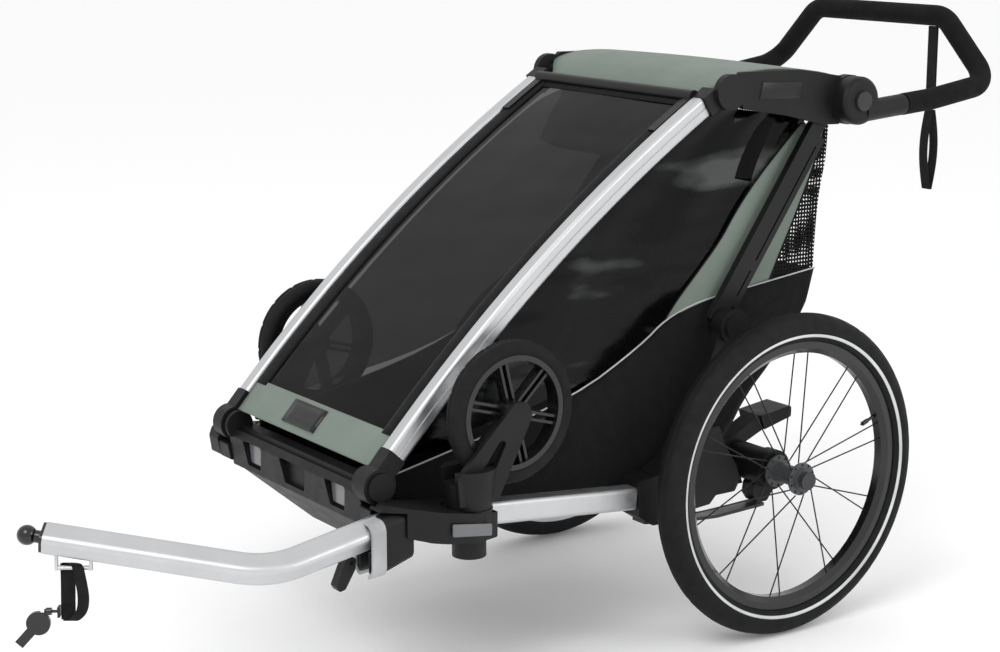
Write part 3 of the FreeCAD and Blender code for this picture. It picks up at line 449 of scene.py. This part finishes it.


# ---------------------------------------------------------------- cabin cloth
PIPING = smooth_line([(-640, 331), (-541, 351), (-331, 396), (-205, 458), (-158, 493),
                      (-90, 513), (-4, 522), (143, 539)])


def fold(piece):
    """Give a piece of the cabin's cloth a mesh of its own."""
    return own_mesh(piece)


def hung(piece, finish):
    """Dress a piece of the cabin's cloth, hang it on the chassis, and give it a mesh of its own."""
    dress(piece, finish)
    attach(piece, "chassis")
    return fold(piece)


# ---------------------------------------------------------------- tub
FLOOR_LINE = [(-80, 258), (-230, 246), (-330, 228), (-450, 221), (-560, 236), (-640, 268)]
BACK_LINE = [(143, 538), (124, 471), (57, 397), (7, 351), (-32, 293), (-80, 258)]


def tub_sides():
    """Both sides of the tub, from its floor and back up to the piping, a little slack."""
    lower = smooth_line(FLOOR_LINE[::-1] + BACK_LINE[::-1][1:], 1)
    rows, columns = 18, 70
    points, faces = [], []
    for side in (-1, 1):
        offset = len(points)
        for i in range(rows):
            v = i / (rows - 1)
            for j in range(columns):
                u = j / (columns - 1)
                low, high = along(lower, u), along(PIPING, u)
                y, z = [a + (b - a) * v for a, b in zip(low, high)]
                sag = 2.5 * math.sin(math.pi * v) * math.sin(math.pi * u)
                crease = 0.8 * math.sin(31 * u + 5 * v) * math.sin(math.pi * v)
                points.append(at(side * (TUB_X + sag + crease), y, z))
        faces += grid_faces(rows, columns, offset=offset)
    return mesh_object("tub_sides", points, faces)


floor_sheet = across_sheet("tub_floor", smooth_line(FLOOR_LINE), lambda v: BAND_X,
                           lambda u, v: 3 * math.sin(math.pi * u) * math.sin(9 * v), 40, 20)
back_sheet = across_sheet("tub_back", smooth_line(BACK_LINE), lambda v: BAND_X,
                          lambda u, v: 4 * math.sin(math.pi * u), 30, 20)
tub = thicken(joined("tub_shell", [tub_sides(), floor_sheet, back_sheet]), 1.2)
dress(tub, "cabin_fabric", "chassis")
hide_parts("tub")


def tube_along(name, points, radius):
    """Thin round trim through a row of points in metres."""
    curve = bpy.data.curves.new(name, "CURVE")
    curve.dimensions = "3D"
    curve.bevel_depth = radius * MM
    curve.bevel_resolution = 2
    spline = curve.splines.new("POLY")
    spline.points.add(len(points) - 1)
    for held, p in zip(spline.points, points):
        held.co = (*p, 1.0)
    source = bpy.data.objects.new(name + "_line", curve)
    bpy.context.collection.objects.link(source)
    bpy.context.view_layer.update()
    mesh = bpy.data.meshes.new_from_object(source.evaluated_get(bpy.context.evaluated_depsgraph_get()))
    bpy.data.objects.remove(source)
    piece = bpy.data.objects.new(name, mesh)
    bpy.context.collection.objects.link(piece)
    mesh.polygons.foreach_set("use_smooth", [True] * len(mesh.polygons))
    return piece


# In the names of the piping and seams left is -x, but it is +x in the frame's.
for side, word in ((-1, "left"), (1, "right")):
    trim = tube_along("piping_" + word, [at(side * TRIM_X, y, z) for y, z in PIPING], 1.3)
    dress(trim, PIPING_GREY, "chassis")

# ---------------------------------------------------------------- cabin sides
# outlines as (y, z): the green band's front and rear edges, and the film's top
GREEN_FRONT = [(-167, 481), (-139, 516), (-97, 557), (-53, 601), (-24, 642), (9, 680), (54, 723), (104, 767)]
GREEN_REAR = [(49, 528), (70, 570), (100, 626), (138, 706), (160, 768)]
FILM_TOP = [(-75, 800), (-19, 797), (41, 789), (112, 772)]


def piping_height(y):
    for a, b in zip(PIPING, PIPING[1:]):
        if a[0] <= y <= b[0]:
            return a[1] + (b[1] - a[1]) * (y - a[0]) / (b[0] - a[0])
    return PIPING[-1][1]


def piping_between(y0, y1):
    """The stretch of the piping from one y to another."""
    middle = [p for p in PIPING if y0 < p[0] < y1]
    return [(y0, piping_height(y0))] + middle + [(y1, piping_height(y1))]


def film_ripple(u, v):
    """Small folds that gather at the film's top, and slow waves over the rest."""
    folds = math.sin(5 * math.pi * u + 3 * v) * math.exp(-3.5 * (1 - v))
    return 2.5 + 2.2 * folds + 1.6 * math.sin(3.2 * math.pi * u + 7 * v) * math.sin(math.pi * v)


film_front = [on_tube(s, -12) for s in (45, 200, 400, 600, 720)] + [FILM_TOP[0]]
film_rear = [(-150, 490)] + [(y + 10, z - 6) for y, z in GREEN_FRONT[1:-1]] + [FILM_TOP[-1]]
film = side_sheet("side_film", (piping_between(-636, -150), smooth_line(FILM_TOP),
                                smooth_line(film_front), smooth_line(film_rear)),
                  FILM_X, film_ripple, 60, 60)
hung(film, SIDE_FILM)
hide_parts("side_windows")

green = side_sheet("green_bands", (piping_between(-167, 49), [GREEN_FRONT[-1], GREEN_REAR[-1]],
                                   smooth_line(GREEN_FRONT), smooth_line(GREEN_REAR)),
                   BAND_X, lambda u, v: -1.2 * math.sin(math.pi * u), 40, 24)
hung(thicken(green, 1.0), "green_fabric")

CORNER_FRONT, CORNER_REAR = (108, 645), (150, 655)     # where the rear corner's mesh meets its cloth
lower_rear = side_sheet("rear_corner_cloth",
                        (piping_between(49, 142), [CORNER_FRONT, CORNER_REAR],
                         GREEN_REAR[:3] + [CORNER_FRONT], [(142, 539), (147, 620), CORNER_REAR]),
                        FILM_X, lambda u, v: 1.0 * math.sin(math.pi * v), 16, 12)
hung(lower_rear, "mesh_fabric")
upper_rear = side_sheet("rear_corner_mesh",
                        ([CORNER_FRONT, CORNER_REAR], [GREEN_REAR[-1], (167, 770)],
                         [CORNER_FRONT] + GREEN_REAR[3:], [CORNER_REAR, (162, 705), (167, 770)]),
                        FILM_X, lambda u, v: 1.0, 16, 8)
hung(upper_rear, "mesh_fabric")


def billow(depth):
    """A swell of that depth in a sheet's middle, and none at its edges."""
    return lambda u, v: depth * math.sin(math.pi * u) * math.sin(math.pi * v)


rear = across_sheet("rear_mesh_sheet", smooth_line([(161, 831), (163, 790), (165, 724), (150, 650)]),
                    lambda v: REAR_X, billow(5), 24, 24)
hung(rear, "mesh_fabric")
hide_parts("rear_mesh")
rear_low = across_sheet("rear_cloth", [(150, 650), (147, 620), (142, 541)],
                        lambda v: REAR_X, billow(3), 12, 24)
hung(rear_low, "mesh_fabric")

for side, word in ((-1, "left"), (1, "right")):
    for edge, line in (("front", GREEN_FRONT), ("rear", GREEN_REAR)):
        seam = tube_along("seam_%s_%s" % (edge, word),
                          [at(side * SEAM_X, y, z) for y, z in smooth_line(line)], 1.2)
        hung(seam, "cabin_fabric")

flap = side_sheet("panel_flap",
                  ([(-120, 722), (-87, 707), (24, 682), (112, 700)], [(-70, 800), (120, 782)],
                   [(-120, 722), (-95, 765), (-70, 800)], [(112, 700), (120, 782)]),
                  FLAP_X, lambda u, v: 1.5 * math.sin(9 * u), 20, 24)
hung(thicken(flap, 0.8), "dark_film")

# ---------------------------------------------------------------- front cover
WINDOW_LOW, WINDOW_HIGH = 72.0, 742.0      # distances up the front tube
PANEL_LOW = 16.0
WINDOW_HALF, COVER_HALF = 168.0, 193.0     # half widths
COVER_LIFT = 9.0                           # height over the tube's middle


def front_sheet(name, s0, s1, x0, x1, lift, rows, columns, wave=None):
    """Sheet that lies along the front tubes, from s0 to s1 up them and x0 to x1 across."""
    points = []
    for i in range(rows):
        s = s0 + (s1 - s0) * i / (rows - 1)
        for j in range(columns):
            u, v = j / (columns - 1), i / (rows - 1)
            n = lift + (wave(u, v) if wave else 0.0)
            points.append(at(x0 + (x1 - x0) * u, *on_tube(s, n)))
    return mesh_object(name, points, grid_faces(rows, columns))


window = front_sheet("front_film", WINDOW_LOW, WINDOW_HIGH, -WINDOW_HALF, WINDOW_HALF,
                     COVER_LIFT - 1, 60, 30,
                     lambda u, v: 1.6 * math.sin(math.pi * u) * math.sin(8 * v + 2 * u))
dress(window, "dark_film", "front_frame")
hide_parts("front_window")
borders = [front_sheet("border", WINDOW_LOW - 6, WINDOW_HIGH + 8,
                       side * WINDOW_HALF * 0.985, side * COVER_HALF, COVER_LIFT, 50, 6,
                       lambda u, v: 1.5 * math.sin(math.pi * u)) for side in (-1, 1)]
borders.append(front_sheet("hem", WINDOW_HIGH - 8, WINDOW_HIGH + 22, -COVER_HALF, COVER_HALF,
                           COVER_LIFT, 5, 20))
border = thicken(joined("window_border", borders), 1.4)
dress(border, "cabin_fabric", "front_frame")
green_front = thicken(front_sheet("front_green", PANEL_LOW, WINDOW_LOW, -COVER_HALF, COVER_HALF,
                                  COVER_LIFT, 16, 30, billow(2.5)), 1.2)
dress(green_front, "green_fabric", "front_frame")
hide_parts("front_panel")
badge = thicken(front_sheet("front_badge", 26, 64, -66, 26, COVER_LIFT + 4.2, 4, 8), 1.0)
dress(badge, BADGE, "front_frame")

# ---------------------------------------------------------------- roof
ROOF_LINE = smooth_line([(-104, 817), (-75, 843), (-54, 855), (-10, 862), (60, 860), (140, 848), (162, 834)])
ROOF_FRONT, ROOF_WIDER = 191.0, 28.0       # half width at its front edge, and how much wider it gets


def roof_half_width(v):
    """Narrow between the tubes' heads, then out over the side mouldings."""
    return ROOF_FRONT + ROOF_WIDER * min(max((v - 0.07) / 0.1, 0.0), 1.0)


roof = across_sheet("roof_sheet", ROOF_LINE, roof_half_width,
                    lambda u, v: 3 * math.sin(math.pi * u) * math.sin(math.pi * v) - 3, 40, 30)
dress(thicken(roof, 1.6), "green_fabric")
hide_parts("roof")

BADGE_OUTLINE = [(-16, 816), (66, 812), (70, 837), (-10, 841)]
BADGE_INNER, BADGE_OUTER = 228.5, 230.4    # the plate's two faces, as half widths
for side, word in ((-1, "right"), (1, "left")):
    points = [at(side * x, y, z) for x in (BADGE_INNER, BADGE_OUTER) for y, z in BADGE_OUTLINE]
    rim_faces = [[k, (k + 1) % 4, 4 + (k + 1) % 4, 4 + k] for k in range(4)]
    plate = mesh_object("side_badge_" + word, points, [[3, 2, 1, 0], [4, 5, 6, 7]] + rim_faces)
    rim = plate.modifiers.new("rounded_rim", "BEVEL")
    rim.width, rim.segments = 0.7 * MM, 2
    dress(plate, BADGE, "top_frame")

# ---------------------------------------------------------------- seat
PAD_VOXEL, PAD_PRESSURE, PAD_FRAMES = 6.0, 4.0, 20
PAD_SWELL = 6.0                            # most that a point of a pad may move
# along a pad: its place as a share of the half width, and how tall it is there
PAD_STATIONS = [(-1.0, 0.93), (-0.96, 0.98), (-0.85, 1.0), (0.0, 1.0), (0.85, 1.0), (0.96, 0.98), (1.0, 0.93)]


def puffed(piece, cap):
    """Blow a closed pad up with a short pressure simulation, then cap how far it swelled."""
    remesh = piece.modifiers.new("voxels", "REMESH")
    remesh.mode, remesh.voxel_size = "VOXEL", PAD_VOXEL * MM
    bpy.context.view_layer.objects.active = piece
    piece.select_set(True)
    bpy.ops.object.modifier_apply(modifier=remesh.name)
    rest = np.array([v.co for v in piece.data.vertices])
    cloth = piece.modifiers.new("cloth", "CLOTH")
    cloth.settings.use_pressure = True
    cloth.settings.uniform_pressure_force = PAD_PRESSURE
    cloth.settings.effector_weights.gravity = 0.0
    scene = bpy.context.scene
    for number in range(1, PAD_FRAMES + 1):
        scene.frame_set(number)
    shape = piece.evaluated_get(bpy.context.evaluated_depsgraph_get()).to_mesh()
    moved = np.array([v.co for v in shape.vertices]) - rest
    length = np.linalg.norm(moved, axis=1, keepdims=True)
    moved *= np.minimum(1.0, cap * MM / np.maximum(length, 1e-9))
    piece.modifiers.remove(cloth)
    scene.frame_set(1)
    piece.data.vertices.foreach_set("co", (rest + moved).astype(np.float32).ravel())
    piece.data.polygons.foreach_set("use_smooth", [True] * len(piece.data.polygons))
    piece.data.update()
    return piece


def pad(name, outline, half_width, cap):
    """Closed pad: a side outline of (y, z), drawn in towards its two sides."""
    middle_y, middle_z = [sum(p[k] for p in outline) / len(outline) for k in (0, 1)]
    points = [at(x * half_width, middle_y + (y - middle_y) * (0.97 + 0.03 * size),
                 middle_z + (z - middle_z) * size)
              for x, size in PAD_STATIONS for y, z in outline]
    count, last = len(outline), len(PAD_STATIONS) - 1
    faces = []
    for i in range(last):
        for j in range(count):
            here, after = i * count, (i + 1) * count
            k = (j + 1) % count
            faces.append([here + j, here + k, after + k, after + j])
    faces += [list(range(count))[::-1], [last * count + j for j in range(count)]]
    piece = puffed(mesh_object(name, points, faces), cap)
    soft = piece.modifiers.new("soft", "SUBSURF")
    soft.levels = soft.render_levels = 1
    return piece


BASE_OUTLINE = [(-416, 294), (-418, 314), (-394, 331), (-300, 328),
                (-136, 317), (-132, 302), (-150, 290), (-300, 291)]
BACK_OUTLINE = [(-114, 328), (-98, 322), (-10, 550), (78, 780), (62, 790), (-30, 560)]
base_pad = pad("seat_pad", BASE_OUTLINE, 168, PAD_SWELL)
dress(base_pad, "seat_fabric", "chassis")
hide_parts("seat_base")
back_pad = pad("back_pad", BACK_OUTLINE, 166, PAD_SWELL)
hung(back_pad, "seat_fabric")
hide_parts("seat_back")


def on_back(x, s, proud):
    """Point on the seat back's face, a distance s up it and so far in front of it."""
    up = Vector((0, 180, 472)).normalized()
    out = Vector((0, -up.z, up.y))
    y, z = (Vector((0, -120, 324)) + up * s + out * proud).yz
    return at(x, y, z)


SHOULDER_X, HIP_X = 48, 130
shoulder = [ribbon("strap", [on_back(side * SHOULDER_X, s, 7 + 2 * math.sin(s / 60))
                             for s in range(140, 410, 18)], (1, 0, 0), 34, 6) for side in (-1, 1)]
hip = [ribbon("strap", [on_back(side * HIP_X * k, 118 + 6 * math.sin(k * 3), 8)
                        for k in (0.2, 0.5, 0.8, 1.0)], (0, 0.36, 0.93), 26, 3) for side in (-1, 1)]
crotch = ribbon("strap", [on_back(0, s, 8) for s in (20, 50, 80, 100)], (1, 0, 0), 30, 3)
buckle = ribbon("strap", [on_back(0, s, 11) for s in (94, 110, 130, 146)], (1, 0, 0), 46, 12)
harness = joined("harness_straps", shoulder + hip + [crotch, buckle])
hung(harness, "webbing")
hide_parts("harness")

# ---------------------------------------------------------------- tyres
ROAD_CROWN, ROAD_SECTION = 250.0, 23.5     # radius of a road tyre, and of its round section
TYRE_WALL = 3
TREAD_INNER_RADIUS, TREAD_HALF = 236, 19   # the tread lies outside one and within the other
GROOVE_FROM, GROOVE_TO = 3, 5              # a round groove on each side of the tyre's middle


def tyre_profile(x, crown, radius):
    """Round section with a wall, open towards the rim."""
    bore = radius - TYRE_WALL
    outer = [(x + radius * math.sin(a), crown - radius + radius * math.cos(a))
             for a in [math.radians(d) for d in range(-140, 141, 8)]]
    inner = [(x + bore * math.sin(a), crown - radius + bore * math.cos(a))
             for a in [math.radians(d) for d in range(140, -141, -20)]]
    return outer + inner


def road_tread(x0):
    """Dents of a tread about the plane x0: two round grooves, and slanting cuts beside them."""
    def dent(i, x, r):
        off = abs(x - x0)
        if r < TREAD_INNER_RADIUS or off > TREAD_HALF:
            return 0.0
        if GROOVE_FROM < off < GROOVE_TO:
            return 1.2
        return 1.3 if (i + int(off / 3)) % 5 == 0 and off > GROOVE_TO else 0.0
    return dent


def middle_x(node):
    """Where a node's middle plane is, in millimetres."""
    low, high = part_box(node)
    return (low.x + high.x) / 2 / MM


ROAD_AXLE = (0, ROAD_CROWN)
STRIPE_ANGLES = [math.radians(d) for d in (104, 108, 112, 116)]      # from the tyre's crown
# In the stripes' names outer is the wheel's inner face, and inner its outer one.
for side, word in ((-1, "left"), (1, "right")):
    x0 = middle_x("tyre_" + word)
    body = "wheel_" + word
    tyre = revolved("road_tyre_" + word, tyre_profile(x0, ROAD_CROWN, ROAD_SECTION), ROAD_AXLE, 240,
                    road_tread(x0))
    dress(tyre, "tyre_rubber", body)
    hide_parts("tyre_" + word)
    for face in (-1, 1):
        strip = [(x0 + face * (ROAD_SECTION * math.sin(a) + 0.35),
                  ROAD_CROWN - ROAD_SECTION + ROAD_SECTION * math.cos(a) + 0.1) for a in STRIPE_ANGLES]
        strip += [(x - face * 1.2, r) for x, r in strip[::-1]]
        label = "outer" if face == side else "inner"
        ring = revolved("stripe_%s_%s" % (word, label), strip, ROAD_AXLE, 160)
        dress(ring, STRIPE, body)

VALVE_ANGLE = math.radians(20)
VALVE_STEPS = [(189, 176, 2.6), (175, 164, 3.6), (163, 161, 1.6)]     # from, to and radius
for word in ("left", "right"):
    valve_x = middle_x("tyre_" + word)
    mesh = bmesh.new()
    for r0, r1, size in VALVE_STEPS:
        made = bmesh.ops.create_cone(mesh, cap_ends=True, segments=16, radius1=size * MM,
                                     radius2=size * MM, depth=(r0 - r1) * MM)
        middle = (r0 + r1) / 2
        place = at(valve_x, middle * math.cos(VALVE_ANGLE), ROAD_CROWN + middle * math.sin(VALVE_ANGLE))
        turn = Matrix.Rotation(-(math.pi / 2 - VALVE_ANGLE), 4, "X")
        bmesh.ops.transform(mesh, matrix=Matrix.Translation(place) @ turn, verts=made["verts"])
    valve = mesh_object("valve_" + word, [], [])
    mesh.to_mesh(valve.data)
    mesh.free()
    dress(valve, "black_gloss", "wheel_" + word)

CASTER_HUB = (-496.0, 416.0)


def caster_profile(x0, half):
    """Closed section of a strolling tyre: flat sides, round shoulders and a thin middle groove."""
    rising = [(half, 83), (half, 92), (half * 0.86, 98), (half * 0.5, 101.3), (2, 102), (1, 100.6)]
    inside = [(x0 + half - 2, 82.3), (x0 - half + 2, 82.3)]
    return [(x0 - x, r) for x, r in rising] + [(x0 + x, r) for x, r in rising[::-1]] + inside


for word in ("left", "right"):
    low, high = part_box("caster_tyre_" + word)
    profile = caster_profile(middle_x("caster_tyre_" + word), (high.x - low.x) / 2 / MM)
    tyre = revolved("stroll_tyre_" + word, profile, CASTER_HUB, 160,
                    lambda i, x, r: 1.4 if i % 10 == 0 and r > 96 else 0.0)
    dress(tyre, "tyre_rubber", "caster_wheel_" + word)
    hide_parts("caster_tyre_" + word)

# ---------------------------------------------------------------- arm receiver
def rounded_section(x0, x1, z0, z1, radius):
    """Rectangle of (x, z) with round corners."""
    corners = [(x1 - radius, z1 - radius, 0), (x0 + radius, z1 - radius, 90),
               (x0 + radius, z0 + radius, 180), (x1 - radius, z0 + radius, 270)]
    points = []
    for cx, cz, start in corners:
        for turn in range(0, 91, 15):
            angle = math.radians(start + turn)
            points.append((cx + radius * math.cos(angle), cz + radius * math.sin(angle)))
    return points


SLEEVE_TOP = 2.2                           # a sleeve's wall at its top


def sleeve(name, stations, wall, radius):
    """Rounded tube along Y; each station is (y, x0, x1, z0, z1)."""
    points = []
    for y, x0, x1, z0, z1 in stations:
        outer = rounded_section(x0, x1, z0, z1, radius)
        inner = rounded_section(x0 + wall, x1 - wall, z0 + wall, z1 - SLEEVE_TOP, radius - SLEEVE_TOP)
        points += [at(x, y, z) for x, z in outer + inner]
    half = len(outer)
    faces = []
    for i in range(len(stations) - 1):
        a, b = i * 2 * half, (i + 1) * 2 * half
        for j in range(half):
            k = (j + 1) % half
            faces.append([a + j, a + k, b + k, b + j])
            faces.append([a + half + k, a + half + j, b + half + j, b + half + k])
    last = (len(stations) - 1) * 2 * half
    for j in range(half):
        k = (j + 1) % half
        faces.append([k, j, half + j, half + k])
        faces.append([last + j, last + k, last + half + k, last + half + j])
    return mesh_object(name, points, faces, smooth=False)


def slotted(piece, x0, x1, y0, y1, z0, z1):
    """Cut an open slot through a piece."""
    corners = [at(x, y, z) for x in (x0, x1) for y in (y0, y1) for z in (z0, z1)]
    sides = [[0, 1, 3, 2], [4, 6, 7, 5], [0, 4, 5, 1], [2, 3, 7, 6], [0, 2, 6, 4], [1, 5, 7, 3]]
    cutter = mesh_object("cutter", corners, sides, smooth=False)
    cut = piece.modifiers.new("slot", "BOOLEAN")
    cut.operation, cut.object, cut.solver = "DIFFERENCE", cutter, "EXACT"
    bpy.context.view_layer.update()
    shape = bpy.data.meshes.new_from_object(piece.evaluated_get(bpy.context.evaluated_depsgraph_get()))
    piece.modifiers.remove(cut)
    piece.data = shape
    bpy.data.objects.remove(cutter)
    return piece


def eased(piece, width=1.2):
    """Bevel the sharp edges of a moulded piece."""
    bevel = piece.modifiers.new("eased_edges", "BEVEL")
    bevel.width, bevel.segments, bevel.limit_method = width * MM, 3, "ANGLE"
    piece.data.polygons.foreach_set("use_smooth", [True] * len(piece.data.polygons))
    return piece


# The collar starts behind the latch lever's swing.
collar = sleeve("receiver_collar", [(-723.5, 221.5, 272.5, 215, 291), (-702, 221.5, 272.5, 217, 295)], 5, 15)
eased(slotted(collar, 236.5, 257.5, -740, -690, 205, 240))
dress(collar, "light_moulding", "chassis")
housing = sleeve("receiver_housing", [(-701.5, 224, 270, 220, 295.5), (-657, 224, 270, 234, 302)], 4, 12)
dress(eased(housing), "black_moulding", "chassis")
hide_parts("hitch_receiver")
for word, x0, x1 in (("inner", 227.5, 236.5), ("outer", 257.5, 266.5)):
    cheek = sleeve("receiver_cheek_" + word, [(-722, x0, x1, 222, 254), (-660, x0, x1, 240, 264)], 3.2, 2.6)
    dress(eased(cheek, 0.6), "black_moulding", "chassis")

# ---------------------------------------------------------------- straps that hang
low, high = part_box("wrist_strap")
strap_x, strap_y = (low.x + high.x) / 2, (low.y + high.y) / 2
STRAP_LONGER = 1.16                        # the strap's drop against its plain solid's height
LOOP_START, LOOP_TIP = 0.5, 0.985          # shares of the drop where the hand loop opens and ends
drop = (high.z - low.z) * STRAP_LONGER
PLY_SPREAD, LOOP_SPREAD = 1.8 * MM, 10 * MM


def strap_side(sign, share):
    """Point down one ply: close together above, a hand loop below."""
    spread = PLY_SPREAD
    if share > LOOP_START:
        spread += LOOP_SPREAD * math.sin(math.pi * (share - LOOP_START) / (1 - LOOP_START))
    return Vector((strap_x, strap_y + sign * spread, high.z - drop * share * LOOP_TIP))


def both_plies(start, end, steps, name):
    """The strap's two plies from one share of its drop to another, as one band."""
    shares = [start + (end - start) * i / steps for i in range(steps + 1)]
    line = [strap_side(-1, share) for share in shares] + [strap_side(1, share) for share in shares[::-1]]
    piece = ribbon(name, line, (1, 0, 0), (high.x - low.x) / MM, 1.6)
    return dress(piece, "webbing", "handlebar")


wrist = both_plies(0.0, LOOP_START, 10, "wrist_webbing")
loop = both_plies(LOOP_START + 0.01, 1.0, 16, "wrist_loop")
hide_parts("wrist_strap")
# The cord is the strap down to its loop, and this path runs down its middle.
middle = [(strap_side(-1, share) + strap_side(1, share)) / 2 for share in
          [LOOP_START * i / 8 for i in range(9)]]

STRAP_AT = at(102.3, -1076.7, 274.5)       # where the safety strap hangs from the arm
ARM_RUN = Vector((-0.573, -0.8195, 0)).normalized()
ACROSS = Vector((-ARM_RUN.y, ARM_RUN.x, 0))


def tether(name, line, width):
    """Flat ply of the safety strap; its line is of (along, across, height)."""
    path = [STRAP_AT + (ARM_RUN * a + ACROSS * c + Vector((0, 0, z))) * MM for a, c, z in smooth_line(line)]
    return ribbon(name, path, ARM_RUN, width, 2.2)


NEAR_PLY = [(9, -4.5, -13), (9, -3, -40), (10, -2, -70), (10, -1, -89)]
FAR_PLY = [(9, -4.5, -13), (-2, 0, -12.4), (-6, 4.5, -14), (-10, 7, -34),
           (-13, 8, -55), (-10, 6, -76), (2, 2, -89), (10, -1, -90)]
webbing = joined("tether_webbing", [tether("ply", NEAR_PLY, 19), tether("ply", FAR_PLY, 15)])
dress(webbing, "webbing", "safety_strap")
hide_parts("safety_strap")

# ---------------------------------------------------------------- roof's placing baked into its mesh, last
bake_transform(roof)


# ---------------------------------------------------------------- studio
FLOOR_HALF, FLOOR_Z = 40, GROUND - MM
floor = mesh_object("studio_floor", [(x * FLOOR_HALF, y * FLOOR_HALF, FLOOR_Z)
                                     for x, y in ((-1, -1), (1, -1), (1, 1), (-1, 1))], [[0, 1, 2, 3]])
ground = Finish("studio_floor", (250, 250, 250), 0.9, spread=0.002)
ground.relief(ground.noise(30.0), 0.02, 0.001)
floor.data.materials.append(ground.material)

world = bpy.data.worlds.new("studio")
bpy.context.scene.world = world
world.use_nodes = True
sky = world.node_tree.nodes["Background"]
sky.inputs["Color"].default_value = (1, 1, 1, 1)
sky.inputs["Strength"].default_value = 1.0


def softbox(name, place, target, size, power):
    """Round soft light at a place, turned to a target."""
    light = bpy.data.lights.new(name, "AREA")
    light.shape, light.size, light.energy = "DISK", size, power
    lamp = bpy.data.objects.new(name, light)
    bpy.context.collection.objects.link(lamp)
    lamp.location = place
    lamp.rotation_euler = (Vector(target) - Vector(place)).to_track_quat("-Z", "Y").to_euler()


softbox("key", (1.6, -2.6, 3.4), (0, 0, 0.4), 2.2, 60)
softbox("fill", (3.4, 1.4, 2.0), (0, 0, 0.4), 1.8, 25)
bpy.context.scene.view_settings.view_transform = "Standard"

# The camera looks down the reverse of BACK.
CAMERA_AT = (2.52295, -1.75928, 1.13467)
RIGHT = Vector((0.573, 0.819, 0))
UP = Vector((-0.1735, 0.1214, 0.9773))
BACK = Vector((0.8007, -0.5606, 0.2114))
camera_data = bpy.data.cameras.new("camera")
camera_data.lens, camera_data.sensor_width = 74.27, 36.0
camera = bpy.data.objects.new("camera", camera_data)
bpy.context.collection.objects.link(camera)
camera.matrix_world = Matrix.Translation(CAMERA_AT) @ Matrix((RIGHT, UP, BACK)).transposed().to_4x4()
bpy.context.scene.camera = camera
